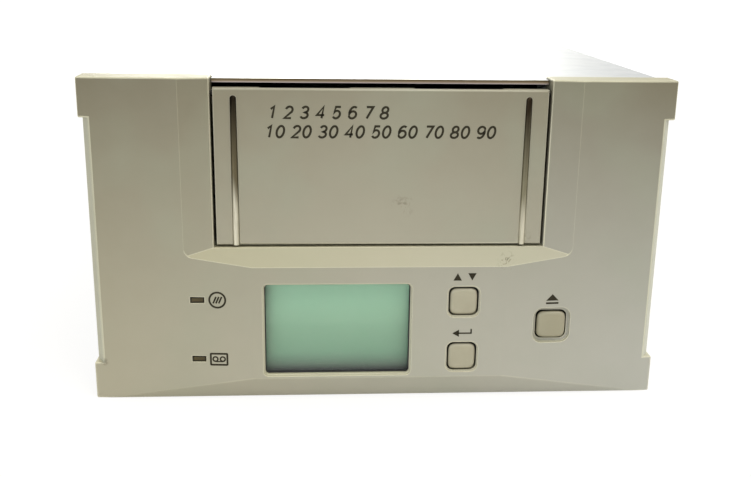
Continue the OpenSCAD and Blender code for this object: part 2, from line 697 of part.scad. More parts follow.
module eject_pinion() placed() color("#c9a14a")
    translate([eject_motor_x, eject_motor_y, gear_z]) {
        difference() {
            rotate([0, 0, mesh_turn(180, 45, eject_teeth, pinion_teeth)])
                linear_extrude(gear_t) gear_outline(eject_m, pinion_teeth);
            translate([0, 0, -1]) cylinder(h = gear_t + 2, r = 1);
        }
        translate([0, 0, deck_z - deck_t - 1 - gear_z]) cylinder(h = deck_t + gear_t + 3.4, r = 1);
    }

module eject_motor() placed() color("#a8abad") difference() {
    union() {
        rod_z(eject_motor_x, eject_motor_y, deck_z - deck_t - 25, deck_z - deck_t, eject_motor_r);
        rod_z(eject_motor_x, eject_motor_y, deck_z - deck_t - 26.6, deck_z - deck_t - 25, 3);
    }
    rod_z(eject_motor_x, eject_motor_y, deck_z - deck_t - 1.2, deck_z + 1, 1 + run_fit);
}

// ---------------------------------------------------------------- elevator

module elevator_carriage() placed() color("#b3b6b8") difference() {
    z0 = lift_rest - 1.2 - lift_wall;
    z1 = lift_rest + cassette_h + 1.4;
    union() {
        block([-lift_half, lift_y0, z0], [lift_half, lift_y0 + lift_d, z0 + lift_wall]);
        both_sides() {
            block([lift_half - lift_wall, lift_y0, z0], [lift_half, lift_y0 + lift_d, z1]);
            block([lift_half - 5, lift_y0, z1 - 0.8], [lift_half, lift_y0 + lift_d, z1]);
            block([lift_half - lift_wall, lift_y - 4, z0], [rod_x, lift_y + 4, z1]);
            rod_z(rod_x, lift_y, z0, z1, rod_r + 2);
        }
        block([rod_x, lift_y - 1.5, z0 + 2], [screw_x, lift_y + 1.5, z0 + 8]);
        rod_z(screw_x, lift_y, z0 + 1, z0 + 9, screw_r + 2);
    }
    both_sides() rod_z(rod_x, lift_y, z0 - 1, z1 + 1, rod_r + run_fit);
    rod_z(screw_x, lift_y, z0 - 1, z0 + 10, screw_r + run_fit);
    block([-3.1, lift_y0 + lift_d - 10.6 - sled_stroke, z0 - 1], [3.1, lift_y0 + lift_d - 2, z0 + 3]);
}

module guide_rods() placed() color("gainsboro") both_sides()
    rod_z(rod_x, lift_y, floor_z, bridge_z + 1.2, rod_r);

module lead_screw() placed() color("#cfd2d4") {
    difference() {
        translate([screw_x, lift_y, lift_gear_z]) {
            linear_extrude(lift_gear_t) gear_outline(lift_m, screw_teeth);
            cylinder(h = lift_gear_t + 1.4, r = 5);
        }
        rod_z(screw_x, lift_y, lift_gear_z - 1, lift_gear_z + 9, screw_r - 0.5);
    }
    rod_z(screw_x, lift_y, floor_z + 0.2, lift_gear_z, 1.5);
    rod_z(screw_x, lift_y, lift_gear_z, bridge_z - 0.4, screw_r);
    rod_z(screw_x, lift_y, bridge_z - 0.4, bridge_z + 1.2, 1.5);
}

module elevator_pinion() placed() color("#c9a14a")
    translate([lift_motor_x, lift_motor_y, lift_gear_z]) {
        rotate([0, 0, mesh_turn(0, lift_motor_turn, screw_teeth, pinion_teeth)])
            linear_extrude(lift_gear_t) gear_outline(lift_m, pinion_teeth);
        cylinder(h = lift_gear_t + 4.2, r = 1);
    }

module elevator_motor() placed() color("#a8abad") difference() {
    union() {
        rod_z(lift_motor_x, lift_motor_y, bracket_z + sheet, bracket_z + sheet + 24, lift_motor_r);
        rod_z(lift_motor_x, lift_motor_y, bracket_z + sheet + 24, bracket_z + sheet + 25.5, 2.6);
    }
    rod_z(lift_motor_x, lift_motor_y, bracket_z, bracket_z + sheet + 3, 1 + run_fit);
}

module motor_bracket() placed() color("#aeb1b2") difference() {
    union() {
        block([lift_motor_x - 8, lift_motor_y - 7.5, bracket_z],
              [inner_w - 0.05, lift_motor_y + 8, bracket_z + sheet]);
        block([inner_w - 0.05 - sheet, lift_motor_y - 7.5, bracket_z + sheet],
              [inner_w - 0.05, lift_motor_y + 8, bracket_z + 12]);
    }
    rod_z(lift_motor_x, lift_motor_y, bracket_z - 1, bracket_z + 2, 1.6);
    rod_z(screw_x, lift_y, bracket_z - 1, bracket_z + 2, 8);
}

module elevator_bridge() placed() color("#aeb1b2") difference() {
    union() {
        block([-inner_w + 0.05 + 1.1, lift_y - 7, bridge_z],
              [inner_w - 1.15, lift_y + 7, bridge_z + 1.2]);
        both_sides()
            block([inner_w - 2.15, lift_y - 7, bridge_z - 14], [inner_w - 1.15, lift_y + 7, bridge_z]);
    }
    both_sides() rod_z(rod_x, lift_y, bridge_z - 1, bridge_z + 2, rod_r);
    rod_z(screw_x, lift_y, bridge_z - 1, bridge_z + 2, 1.5 + run_fit);
}

module picker_sled() placed() color("#d9c26a") {
    z = lift_rest - 1.15;
    y1 = lift_y0 + lift_d;
    block([-12, y1 - 10, z], [12, y1, z + 1.1]);
    block([-3, y1 - 10, z - lift_wall - 0.4], [3, y1 - 2.2, z]);
    block([-9, y1 - 1.2, z + 1.1 - eps], [9, y1, lift_rest + cassette_h - 2]);
}

module carried_cassette() placed() cassette(lift_y0 + lift_d - 1.25 - cassette_d, lift_rest);

// ---------------------------------------------------------------- tape drive

module drive_frame() placed() color("#8f9496") difference() {
    union() {
        block([-drive_half, drive_y0, drive_z], [drive_half, drive_y1, plate_z]);
        both_sides() block([drive_half - 2, drive_y0, drive_z], [drive_half, drive_y1, deck_z - 4.4]);
        rod_z(capstan_x, capstan_y, plate_z, plate_z + 1, 4);
        for (x = [-1, 1]) rod_z(x * reel_pitch / 2, reel_y, plate_z, plate_z + 1.2, 3.4);
        rod_z(arm_x, arm_y, plate_z, plate_z + 5.6, 3.2);
        rod_z(arm_x, arm_y, plate_z, plate_z + 11, 1.5);
        both_sides() block([holder_half + 0.3, holder_y0 + 8, plate_z],
                           [holder_half + 3, holder_y0 + 40, lift_rest + 6]);
        both_sides() for (y = [drive_y0 + 18, holder_y0 - 8])
            rod_z(drive_half - 5, y, plate_z, drive_board_z, 2);
    }
    both_sides() for (y = holder_pins)
        block([holder_half - 0.1, y - 1.05, lift_rest + 1.6 - holder_travel],
                                             [holder_half + 4, y + 1.05, lift_rest + 7]);
    for (x = isolator_xs, y = isolator_ys) rod_z(x, y, drive_z - 1, plate_z + 1, 2.2);
    for (x = [-1, 1]) rod_z(x * reel_pitch / 2, reel_y, drive_z - 1, plate_z + 2, 1.5 + run_fit);
    for (k = [-1, 1])
        block([k * 24 - 8, holder_y0 + 4, drive_z - 1], [k * 24 + 8, holder_y0 + 16, plate_z + 1]);
    both_sides() block([drive_half - 3, holder_y0 + 6, plate_z + 6],
                       [drive_half + 1, holder_y0 + 40, plate_z + 20]);
}

// Rubber feet between the drive and the chassis floor, with a neck through the frame
module drive_isolators() placed() color("#26272a") for (x = isolator_xs, y = isolator_ys) difference() {
    union() {
        rod_z(x, y, floor_z, drive_z, 4.5);
        rod_z(x, y, drive_z, plate_z, 2.2);
        rod_z(x, y, plate_z, plate_z + 1.4, 4);
    }
    rod_z(x, y, floor_z - 1, plate_z + 2, 1.2);
}

module drum_place() translate([drum_x, drum_y, plate_z + 1.5]) rotate([0, drum_tilt, 0]) children();

module lower_drum() placed() color("#c8cbcd") {
    rod_z(drum_x, drum_y, plate_z, plate_z + 2, drum_r - 4);
    drum_place() {
        difference() {
            translate([0, 0, 1.4]) cylinder(h = 7, r = drum_r);
            translate([0, 0, 6.4]) difference() {
                cylinder(h = 4, r = drum_r - 1.6);
                translate([0, 0, -1]) cylinder(h = 6, r = 4);
            }
        }
        cylinder(h = 20, r = 2.4);
    }
}

module head_drum() placed() color("#dfe2e4") drum_place() difference() {
    translate([0, 0, 8.6]) union() {
        difference() {
            cylinder(h = 8, r = drum_r);
            translate([0, 0, 6.6]) difference() {
                cylinder(h = 4, r = drum_r - 1.8);
                translate([0, 0, -1]) cylinder(h = 6, r = 6);
            }
        }
    }
    translate([0, 0, 7]) cylinder(h = 12, r = 2.4 + run_fit);
    for (a = [0:90:270]) rotate([0, 0, a]) translate([drum_r - 0.9, -1.2, 8]) cube([2, 2.4, 1.6]);
}

module capstan_motor() placed() color("#767b7e") difference() {
    rod_z(capstan_x, capstan_y, plate_z + 1, plate_z + 3.4, 10);
    rod_z(capstan_x, capstan_y, plate_z, plate_z + 5, capstan_r + run_fit);
}

module capstan() placed() color("#e2e4e6") {
    rod_z(capstan_x, capstan_y, plate_z + 1.2, plate_z + 25, capstan_r);
    difference() {
        rod_z(capstan_x, capstan_y, plate_z + 3.6, plate_z + 6, 10);
        for (a = [0:60:300])
            rod_z(capstan_x + 6.5 * cos(a), capstan_y + 6.5 * sin(a), plate_z + 3, plate_z + 7, 1.6);
    }
}

module pinch_arm() placed() color("#b9bcbe") difference() {
    union() {
        rod_z(arm_x, arm_y, arm_z - 1.6, arm_z + 2, 3.2);
        rod_z(roller_x, roller_y, arm_z, arm_z + 1.6, 2.4);
        translate([arm_x, arm_y, arm_z]) rotate([0, 0, roller_rest])
            block([0, -1.8, 0], [arm_l, 1.8, 1.6]);
        rod_z(roller_x, roller_y, arm_z, arm_z + 14.6, 1);
    }
    rod_z(arm_x, arm_y, arm_z - 3, arm_z + 3, 1.5 + run_fit);
}

module pinch_roller() placed() color("#1f2022") difference() {
    rod_z(roller_x, roller_y, arm_z + 2, arm_z + 13.6, roller_r);
    rod_z(roller_x, roller_y, arm_z + 1, arm_z + 15, 1 + run_fit);
}

module reel_table(x) difference() {
    union() {
        rod_z(x, reel_y, plate_z + 1.4, plate_z + 2.6, 7);
        rod_z(x, reel_y, plate_z + 2.6, plate_z + 4, 3.6);
        rod_z(x, reel_y, plate_z + 4, plate_z + 8, 2.6);
        rod_z(x, reel_y, drive_z - 0.6, plate_z + 1.4, 1.5);
        for (a = [0:120:240]) translate([x, reel_y, plate_z + 4]) rotate([0, 0, a])
            block([2, -0.6, 0], [3.8, 0.6, 3]);
    }
    rod_z(x, reel_y, plate_z + 7, plate_z + 9, 1.2);
}
module supply_reel_table() placed() color("#f0efe9") reel_table(-reel_pitch / 2);
module takeup_reel_table() placed() color("#f0efe9") reel_table(reel_pitch / 2);

module guide_posts() placed() color("silver")
    for (p = [[-26, 12], [-22, 26], [14, 27], [20, 6]]) {
        rod_z(drum_x + p[0], drum_y + p[1], plate_z, plate_z + 6, 2);
        rod_z(drum_x + p[0], drum_y + p[1], plate_z + 6, plate_z + 12, 1.2);
        rod_z(drum_x + p[0], drum_y + p[1], plate_z + 12, plate_z + 13, 1.9);
    }

// Open cage that takes the cassette from the elevator and lowers it to the reels
module cassette_holder() placed() color("#c2c5c7") {
    wall = 0.8;
    z0 = lift_rest - 1.1;
    z1 = lift_rest + cassette_h + 0.4;
    both_sides() {
        block([holder_half - wall, holder_y0, z0], [holder_half, holder_y1, z1 + wall]);
        block([holder_half - 8, holder_y0, z0], [holder_half - wall, holder_y1, z0 + wall]);
    }
    difference() {
        block([-holder_half + wall, holder_y0, z1], [holder_half - wall, holder_y1, z1 + wall]);
        along_z(z1 - 1, z1 + 2) rounded(0, (holder_y0 + holder_y1) / 2, 40, 30, 3);
    }
    both_sides() for (y = holder_pins) rod_x(y, z0 + 4, holder_half - 0.1, holder_half + 2.6, 1);
}

module drive_board() placed() color("#2f6b46") difference() {
    block([-drive_half + 2.1, drive_y0 + 0.5, drive_board_z],
          [drive_half - 2.1, holder_y0 - 4, drive_board_z + 1.6]);
    rod_z(drum_x, drum_y, drive_board_z - 1, drive_board_z + 3, drum_r + 3);
}

// ---------------------------------------------------------------- rear electronics

module interface_board() placed() color("#2f6b46") {
    block([-inner_w + 1.2, board_back - 1.6, floor_z + 0.4], [power_x + 15, board_back, sill_z - 4]);
    for (p = [[-46, 24], [-20, 26], [6, 22]])
        block([p[0], board_back - 2.8, p[1]], [p[0] + 12, board_back - 1.6, p[1] + 8]);
}

module scsi_connector() placed() color("#3a3c3f") difference() {
    block([scsi_x - scsi_w / 2 + 0.2, board_back, scsi_z - 5],
          [scsi_x + scsi_w / 2 - 0.2, rear_y, scsi_z + 5]);
    block([scsi_x - 23, board_back + 1.4, scsi_z - 3], [scsi_x + 23, rear_y + 1, scsi_z + 3]);
    for (x = [-1, 1]) rod_y(scsi_x + x * 27, scsi_z, board_back + 1.4, rear_y + 1, 1.6);
}

module power_connector() placed() color("#e6e3da") {
    difference() {
        block([power_x - 11.3, board_back, scsi_z - 5], [power_x + 11.3, rear_y, scsi_z + 5]);
        block([power_x - 9.8, board_back + 1.2, scsi_z - 3.6],
              [power_x + 9.8, rear_y + 1, scsi_z + 3.6]);
    }
    for (k = [-1.5:1.5]) rod_y(power_x + k * 5.08, scsi_z, board_back + 1, rear_y - 0.8, 1.05);
}

module option_jumpers() placed() color("#1f2023") {
    block([jumper_x - 8.4, board_back, scsi_z - 2.5], [jumper_x + 8.4, board_back + 2.5, scsi_z + 2.5]);
    for (k = [-2.5:2.5], j = [-1, 1])
        block([jumper_x + k * 2.54 - 0.32, board_back + 2.5, scsi_z + j * 1.27 - 0.32],
              [jumper_x + k * 2.54 + 0.32, rear_y - 0.5, scsi_z + j * 1.27 + 0.32]);
}

front_bezel();
magazine_door();
door_skid_strips();
door_hinge_pin();
door_spring();
lcd_window();
lcd_panel();
lcd_frame();
control_board();
tact_switches();
status_lenses();
status_leds();
board_screws();
select_button();
enter_button();
eject_button();
chassis_tray();
top_cover();
rear_panel();
chassis_screws();
magazine_deck();
left_rail();
right_rail();
magazine_shell();
stored(0);  // cassette_1
stored(1);  // cassette_2
stored(2);  // cassette_3
stored(3);  // cassette_4
stored(4);  // cassette_5
stored(5);  // cassette_6
eject_gear();
eject_pinion();
eject_motor();
elevator_carriage();
guide_rods();
lead_screw();
elevator_pinion();
elevator_motor();
motor_bracket();
elevator_bridge();
picker_sled();
carried_cassette();
drive_frame();
drive_isolators();
lower_drum();
head_drum();
capstan();
capstan_motor();
pinch_arm();
pinch_roller();
supply_reel_table();
takeup_reel_table();
guide_posts();
cassette_holder();
drive_board();
interface_board();
scsi_connector();
power_connector();
option_jumpers();
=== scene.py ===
# %% [markdown]
# # A tape autoloader, from its frame to its finishes
# The object is a steel box with a moulded plastic front, made to slide into a computer.
# The frame gives every solid its place in metres. This script never moves them: it gives
# each one a material, and puts softened copies or finer pieces in place of the few that
# would look too sharp or too plain.

# %% Load the frame
import math

import bmesh
import bpy
import numpy as np
from mathutils import Matrix, Vector


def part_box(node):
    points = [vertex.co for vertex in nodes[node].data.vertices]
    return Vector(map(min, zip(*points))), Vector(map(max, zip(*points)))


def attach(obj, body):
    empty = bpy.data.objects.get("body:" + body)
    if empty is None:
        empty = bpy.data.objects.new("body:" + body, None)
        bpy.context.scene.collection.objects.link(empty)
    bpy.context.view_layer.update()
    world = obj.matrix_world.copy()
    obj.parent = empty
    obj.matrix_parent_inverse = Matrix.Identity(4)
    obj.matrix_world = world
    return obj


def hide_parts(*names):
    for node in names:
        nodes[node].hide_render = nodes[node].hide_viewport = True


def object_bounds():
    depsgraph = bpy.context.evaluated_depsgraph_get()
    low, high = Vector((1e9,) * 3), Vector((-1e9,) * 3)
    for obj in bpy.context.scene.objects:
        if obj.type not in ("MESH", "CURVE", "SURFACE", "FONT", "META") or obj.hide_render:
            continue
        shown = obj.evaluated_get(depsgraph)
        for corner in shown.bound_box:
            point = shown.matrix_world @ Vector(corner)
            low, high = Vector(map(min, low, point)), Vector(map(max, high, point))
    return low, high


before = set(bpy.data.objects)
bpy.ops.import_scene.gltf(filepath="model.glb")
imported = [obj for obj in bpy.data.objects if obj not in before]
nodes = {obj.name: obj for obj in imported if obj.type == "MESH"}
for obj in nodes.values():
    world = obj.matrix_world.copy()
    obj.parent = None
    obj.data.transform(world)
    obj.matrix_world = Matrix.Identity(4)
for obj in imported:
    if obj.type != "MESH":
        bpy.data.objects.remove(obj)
cad_low, cad_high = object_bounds()
MM = 0.001
FRONT_Y = cad_low.y / MM
print("nodes", len(nodes), "box mm", [round((b - a) / MM, 2) for a, b in zip(cad_low, cad_high)])

# %% [markdown]
# ## The camera
# The front is seen from a little above and a little to the left, from about a quarter of a
# metre, so its sides lean in towards the bottom. The camera's matrix is built from the
# direction that it looks in and the direction that is up.

# %% Place the camera
look = Vector((0.0647, 0.9597, -0.2736)).normalized()
right = look.cross(Vector((0.0032, 0.2740, 0.9617))).normalized()
up = right.cross(look)
eye = Vector((-17.24, -341.3, 111.33)) * MM
camera = bpy.data.objects.new("camera", bpy.data.cameras.new("camera"))
camera.data.sensor_width = 36
camera.data.lens = 46.07
camera.data.clip_start = 0.01
camera.matrix_world = Matrix.Translation(eye) @ Matrix((right, up, -look)).transposed().to_4x4()
bpy.context.scene.collection.objects.link(camera)
bpy.context.scene.camera = camera
bpy.context.scene.view_settings.view_transform = "Standard"
print("camera to the front mm", round((cad_low.y - eye.y) / MM, 1))


# %% [markdown]
# ## Colours and nodes
# Colours are written as the sRGB hex that a paint shop would use. A shader works with
# linear light, so one function turns them. A second function adds a node, sets its inputs
# and links whatever is another node's output.

# %% Two helpers for every material
def linear(hex_code):
    """sRGB hex to linear: c / 12.92 below 0.04045, else ((c + 0.055) / 1.055) ** 2.4."""
    c = np.array([int(hex_code[i:i + 2], 16) for i in (0, 2, 4)]) / 255
    c = np.where(c <= 0.04045, c / 12.92, ((c + 0.055) / 1.055) ** 2.4)
    return (*c.tolist(), 1.0)


def add(tree, kind, sockets=None, **settings):
    """Adds a node; sockets maps an input's name or number to a value or to an output."""
    made = tree.nodes.new("ShaderNode" + kind)
    for key, value in settings.items():
        setattr(made, key, value)
    for key, value in (sockets or {}).items():
        if isinstance(value, bpy.types.NodeSocket):
            tree.links.new(value, made.inputs[key])
        else:
            made.inputs[key].default_value = value
    return made


# %% [markdown]
# ## What nearly all surfaces share
# A moulded, rolled or cast surface has two scales. Over some millimetres its colour and
# sheen drift a little. Over tenths of a millimetre it has a grain that breaks up the
# highlight. `surface` makes both from noise on Object coordinates, with sizes in mm.

# %% The shared surface
def surface(name, colour, drift, drift_mm, rough, rough_drift, grain_mm, grain_um,
            metallic=0.0, stretch=(1, 1, 1), ior=1.5, **sockets):
    """Principled shader: colour mixes to drift by soft noise; roughness swings by
    rough_drift on the same noise; a fine noise of grain_mm lifts the surface by grain_um."""
    material = bpy.data.materials.new(name)
    material.use_nodes = True
    tree = material.node_tree
    tree.nodes.clear()
    place = add(tree, "TexCoord").outputs["Object"]
    add(tree, "SeparateXYZ", {0: place})  # for patterns that go by height or by side
    place = add(tree, "Mapping", {"Vector": place, "Scale": stretch}).outputs[0]
    soft = add(tree, "TexNoise", {"Vector": place, "Scale": 1000 / drift_mm, "Detail": 3.0, "Roughness": 0.6})
    grain = add(tree, "TexNoise", {"Vector": place, "Scale": 1000 / grain_mm, "Detail": 2.0})
    share = add(tree, "MapRange", {"Value": soft.outputs["Fac"], "From Min": 0.3, "From Max": 0.7})
    tone = add(tree, "Mix", {0: share.outputs[0], 6: linear(colour), 7: linear(drift)}, data_type="RGBA")
    gloss = add(tree, "MapRange", {"Value": soft.outputs["Fac"], "From Min": 0.3, "From Max": 0.7,
                                   "To Min": rough - rough_drift, "To Max": rough + rough_drift})
    bump = add(tree, "Bump", {"Height": grain.outputs["Fac"], "Strength": 0.6,
                              "Distance": grain_um * 1e-6})
    settings = {"Metallic": metallic, "Base Color": tone.outputs[2], "Roughness": gloss.outputs[0],
                "Normal": bump.outputs[0], **({} if metallic else {"IOR": ior}), **sockets}
    shader = add(tree, "BsdfPrincipled", settings)
    add(tree, "OutputMaterial", {"Surface": shader.outputs[0]})
    return material


def part_of(material, kind):
    """The first node of a kind in a material; the first SeparateXYZ splits the place."""
    return next(n for n in material.node_tree.nodes if n.bl_idname == "ShaderNode" + kind)


def over(material, share, colour):
    """Lays a colour, as a hex or another node's output, over what the shader shows so far,
    by a share that is a number or another node's output."""
    tree, shader = material.node_tree, part_of(material, "BsdfPrincipled")
    below = shader.inputs["Base Color"].links[0].from_socket
    colour = linear(colour) if isinstance(colour, str) else colour
    laid = add(tree, "Mix", {0: share, 6: below, 7: colour}, data_type="RGBA")
    tree.links.new(laid.outputs[2], shader.inputs["Base Color"])


def coat(material, *names):
    """Gives a material to CAD nodes in place of their own."""
    for name in names:
        nodes[name].data.materials.clear()
        nodes[name].data.materials.append(material)
    print(material.name, "on", ", ".join(names))


# %% [markdown]
# ## Moulded ABS, aged, with painted shade
# The front is ABS, moulded against a spark-eroded steel tool, which leaves an even satin
# grain. Its colour goes from a cool grey to a warmer, darker one towards the top and the
# sides. This is partly yellowing and partly painted shade, which stands for less light
# falling there. The mix by height and by side is laid over the shared surface.

# %% Ageing and painted shade by place
def age_and_painted_shade(material, cool, warm, dark):
    """Base colour by place, partly yellowing and partly painted shade: reach = z + 0.22 |x|,
    from 12 to 102 mm, to the power 1.4, goes from lighter to dark, so the top and the sides
    are darker, as if less light fell there; lighter runs from warm on the left to cool on the
    right. The surface's own drift still shows by 0.14."""
    tree = material.node_tree
    xyz = part_of(material, "SeparateXYZ").outputs
    across = add(tree, "MapRange", {"Value": xyz["X"], "From Min": -70 * MM, "From Max": 70 * MM})
    fresh = add(tree, "Mix", {0: across.outputs[0], 6: linear(warm), 7: linear(cool)}, data_type="RGBA")
    out = add(tree, "Math", {0: xyz["X"]}, operation="ABSOLUTE")
    reach = add(tree, "Math", {0: out.outputs[0], 1: 0.22, 2: xyz["Z"]}, operation="MULTIPLY_ADD")
    height = add(tree, "MapRange", {"Value": reach.outputs[0], "From Min": 12 * MM, "From Max": 102 * MM})
    height = add(tree, "Math", {0: height.outputs[0], 1: 1.4}, operation="POWER")
    base = add(tree, "Mix", {0: height.outputs[0], 6: fresh.outputs[2], 7: linear(dark)}, data_type="RGBA")
    over(material, 0.86, base.outputs[2])


def fresh_reliefs(material, half_width, margin, left, right):
    """Painted light on the reliefs in the sides, which are made lighter: a colour comes in to 0.65
    from 2.9 to 2.3 mm inside half_width, up to margin mm from the bezel's top and bottom."""
    tree = material.node_tree
    xyz = part_of(material, "SeparateXYZ").outputs
    half = cad_high.z / 2
    within = add(tree, "Math", {0: xyz["Z"], 1: half, 2: half - margin * MM}, operation="COMPARE")
    for side, fresh in ((-1, left), (1, right)):
        beside = add(tree, "MapRange", {"Value": xyz["X"], "From Min": side * (half_width - 2.9) * MM,
                                        "From Max": side * (half_width - 2.3) * MM, "To Max": 0.65})
        beside = add(tree, "Math", {0: beside.outputs[0], 1: within.outputs[0]}, operation="MULTIPLY")
        over(material, beside.outputs[0], fresh)


# %% [markdown]
# ## Wear, and painted light and shade
# Edges carry a painted highlight, a pale line along them. Grime stays in scuffs. The gaps
# round the keys carry painted shade, darkest at their top. Ledges that look up carry painted
# light in a cream tone, and the whole moulding is a little patchy. Each is one more colour
# laid over, by a share that fits the cause.

# %% Painted edge highlights, scuffs, painted light on upward faces, and patches
def paint_edge_highlights(material, radius_mm, share, colour):
    """Painted edge highlights: where the normal averaged over radius_mm leaves the face's own
    normal (their dot product falls from 0.9995 to 0.985), the pale colour is laid on by share."""
    tree = material.node_tree
    averaged = add(tree, "Bevel", {"Radius": radius_mm * MM}, samples=6)
    face = add(tree, "NewGeometry")
    agree = add(tree, "VectorMath", {0: averaged.outputs[0], 1: face.outputs["True Normal"]},
                operation="DOT_PRODUCT")
    edge = add(tree, "MapRange", {"Value": agree.outputs["Value"], "From Min": 0.9995, "From Max": 0.985,
                                  "To Max": share})
    over(material, edge.outputs[0], colour)


def scuff(material, at_mm, reach_mm, size_mm, colour, share, start=0.52):
    """Grime near one spot: where a noise of size_mm passes start, fading out over reach_mm."""
    tree = material.node_tree
    place = part_of(material, "TexCoord").outputs["Object"]
    away = add(tree, "VectorMath", {0: place, 1: Vector(at_mm) * MM}, operation="DISTANCE")
    near = add(tree, "MapRange", {"Value": away.outputs["Value"], "From Min": reach_mm * MM,
                                  "From Max": 0.0})
    noise = add(tree, "TexNoise", {"Vector": place, "Scale": 1000 / size_mm, "Detail": 4.0,
                                   "Distortion": 1.5})
    mark = add(tree, "MapRange", {"Value": noise.outputs["Fac"], "From Min": start,
                                  "From Max": start + 0.12, "To Max": share})
    mark = add(tree, "Math", {0: near.outputs[0], 1: mark.outputs[0]}, operation="MULTIPLY")
    over(material, mark.outputs[0], colour)


def paint_upward_light(material, share, colour):
    """Painted light on faces that look up, in a cream tone: share is laid on where the normal's z is 0.15 to
    0.5.
    """
    tree = material.node_tree
    lean = add(tree, "SeparateXYZ", {0: add(tree, "NewGeometry").outputs["Normal"]})
    up_share = add(tree, "MapRange", {"Value": lean.outputs["Z"], "From Min": 0.15, "From Max": 0.5,
                                      "To Max": share})
    over(material, up_share.outputs[0], colour)


def mottle(material, size_mm, colour, share):
    """Uneven ageing: soft patches of size_mm where a noise passes 0.45 to 0.65."""
    tree = material.node_tree
    noise = add(tree, "TexNoise", {"Vector": part_of(material, "TexCoord").outputs["Object"],
                                   "Scale": 1000 / size_mm, "Detail": 2.0})
    patch = add(tree, "MapRange", {"Value": noise.outputs["Fac"], "From Min": 0.45, "From Max": 0.65,
                                   "To Max": share})
    over(material, patch.outputs[0], colour)


# %% Painted shade in the gaps round the keys
# The front is level out to FACE_FLAT mm each side; the keys stand in two columns, in mm
FACE_FLAT, FACE_FALL = 33, 0.07
SELECT_X, EJECT_X = 21.95, 45.6
# The colour of the painted shade in the gaps round the keys
GAP_SHADE = "0F0E08"


def face_depth(x):
    """The front's y in mm: level out to 33 mm each side, then falling back 0.07 mm per mm."""
    return FRONT_Y + np.maximum(0, FACE_FALL * (np.abs(x) - FACE_FLAT))


def paint_gap_shade(material, column, low, high, lighter_lean):
    """Painted shade round the keys within 6 mm of x = column: laid on from low to high mm behind
    the face there, and mostly left off where the normal's z has the sign of lighter_lean, so
    the gaps are darkest at their top."""
    tree = material.node_tree
    xyz = part_of(material, "SeparateXYZ").outputs
    deep = add(tree, "MapRange", {"Value": xyz["Y"], "From Min": (face_depth(column) + low) * MM,
                                  "From Max": (face_depth(column) + high) * MM})
    lean = add(tree, "SeparateXYZ", {0: add(tree, "NewGeometry").outputs["Normal"]})
    shade = add(tree, "MapRange", {"Value": lean.outputs["Z"], "From Min": 0.0, "From Max": 0.6 * lighter_lean,
                                   "To Min": 1.0, "To Max": 0.25})
    near_x = add(tree, "Math", {0: xyz["X"], 1: column * MM, 2: 6 * MM}, operation="COMPARE")
    near_z = add(tree, "Math", {0: xyz["Z"], 1: 21 * MM, 2: 13.5 * MM}, operation="COMPARE")
    for other in (shade, near_x, near_z):
        deep = add(tree, "Math", {0: deep.outputs[0], 1: other.outputs[0]}, operation="MULTIPLY")
    over(material, deep.outputs[0], GAP_SHADE)


# %% [markdown]
# ## The three mouldings in ABS
# The bezel, the door and the keys came from three tools, so their grain and sheen differ a
# little. The eject key is a little darker. ABS has an IOR of about 1.53. A real
# spark-eroded grain is some 0.05 mm; here it is 0.25 to 0.32 mm, as coarse as it needs to
# be to show.

# %% Bezel, door and keys
bezel_abs = surface("moulded_abs_satin", "AFAB97", "A39E88", 9, 0.48, 0.05, 0.32, 9, ior=1.53)
# Darker towards the top and the sides: partly yellowing, partly painted shade
age_and_painted_shade(bezel_abs, "B3B4AC", "A9A48E", "625C45")
mottle(bezel_abs, 24, "96A08A", 0.16)
# Painted light in a cream tone on faces that look up
paint_upward_light(bezel_abs, 0.3, "CFC897")
# Painted highlights along the bezel's edges
paint_edge_highlights(bezel_abs, 0.3, 0.6, "E2DFC4")
scuff(bezel_abs, (32.6, -106.2, 38.2), 3.0, 1.4, "57513A", 1.0)
scuff(bezel_abs, (-72.0, -103.5, 10.3), 1.3, 0.8, "4E4936", 1.0, 0.35)
# Painted light: the side reliefs are lightened, more on the right than on the left
fresh_reliefs(bezel_abs, cad_high.x / MM, 10, "AAAB98", "C4C6B7")
# Painted shade on the bezel's walls of the gaps round the keys
paint_gap_shade(bezel_abs, SELECT_X, 0.52, 0.8, 1)
paint_gap_shade(bezel_abs, EJECT_X, 1.2, 1.4, 1)

door_abs = surface("moulded_abs_door", "A9A591", "9E9984", 11, 0.44, 0.05, 0.32, 7, ior=1.53)
# The door is also darker towards the top: partly yellowing, partly painted shade
age_and_painted_shade(door_abs, "B3B1A2", "AFAB98", "6D6750")
mottle(door_abs, 20, "969F8C", 0.2)
# Painted highlights along the door's edges
paint_edge_highlights(door_abs, 0.2, 0.35, "CFCCB6")
scuff(door_abs, (5.6, -103.9, 52.2), 3.4, 1.7, "6E6A58", 0.75)
scuff(door_abs, (37.8, -103.9, 43.6), 2.2, 0.9, "5C563F", 0.6)

key_abs = surface("moulded_abs_keys", "ACA892", "A5A08A", 6, 0.38, 0.04, 0.25, 4, ior=1.53)
# Darker towards the eject key, from x = 30 to 45 mm
darker_to_eject = add(key_abs.node_tree, "MapRange", {"Value": part_of(key_abs, "SeparateXYZ").outputs["X"],
                                              "From Min": 30 * MM, "From Max": 45 * MM, "To Max": 0.7})
over(key_abs, darker_to_eject.outputs[0], "969179")
# Painted shade on the keys' own sides of the same gaps
paint_gap_shade(key_abs, SELECT_X, 0.5, 0.9, -1)
paint_gap_shade(key_abs, EJECT_X, 0.7, 1.1, -1)
print("ABS", bezel_abs.name, door_abs.name, key_abs.name)

# %% [markdown]
# ## Metals
# The box is zinc-plated steel sheet, which has a faint cloudy spangle. Rods and pins are
# ground steel, the motor cans are drawn and plated, the tape drive's base is die-cast and
# its drum is turned and lapped. Screws are plated a little yellower, springs are blackened
# in oil, and the pinions are brass. A metal's colour is its reflection, so most stay grey.
# Ground and lapped lines are a few hundredths wide: here 0.2 mm and over, so that they show.

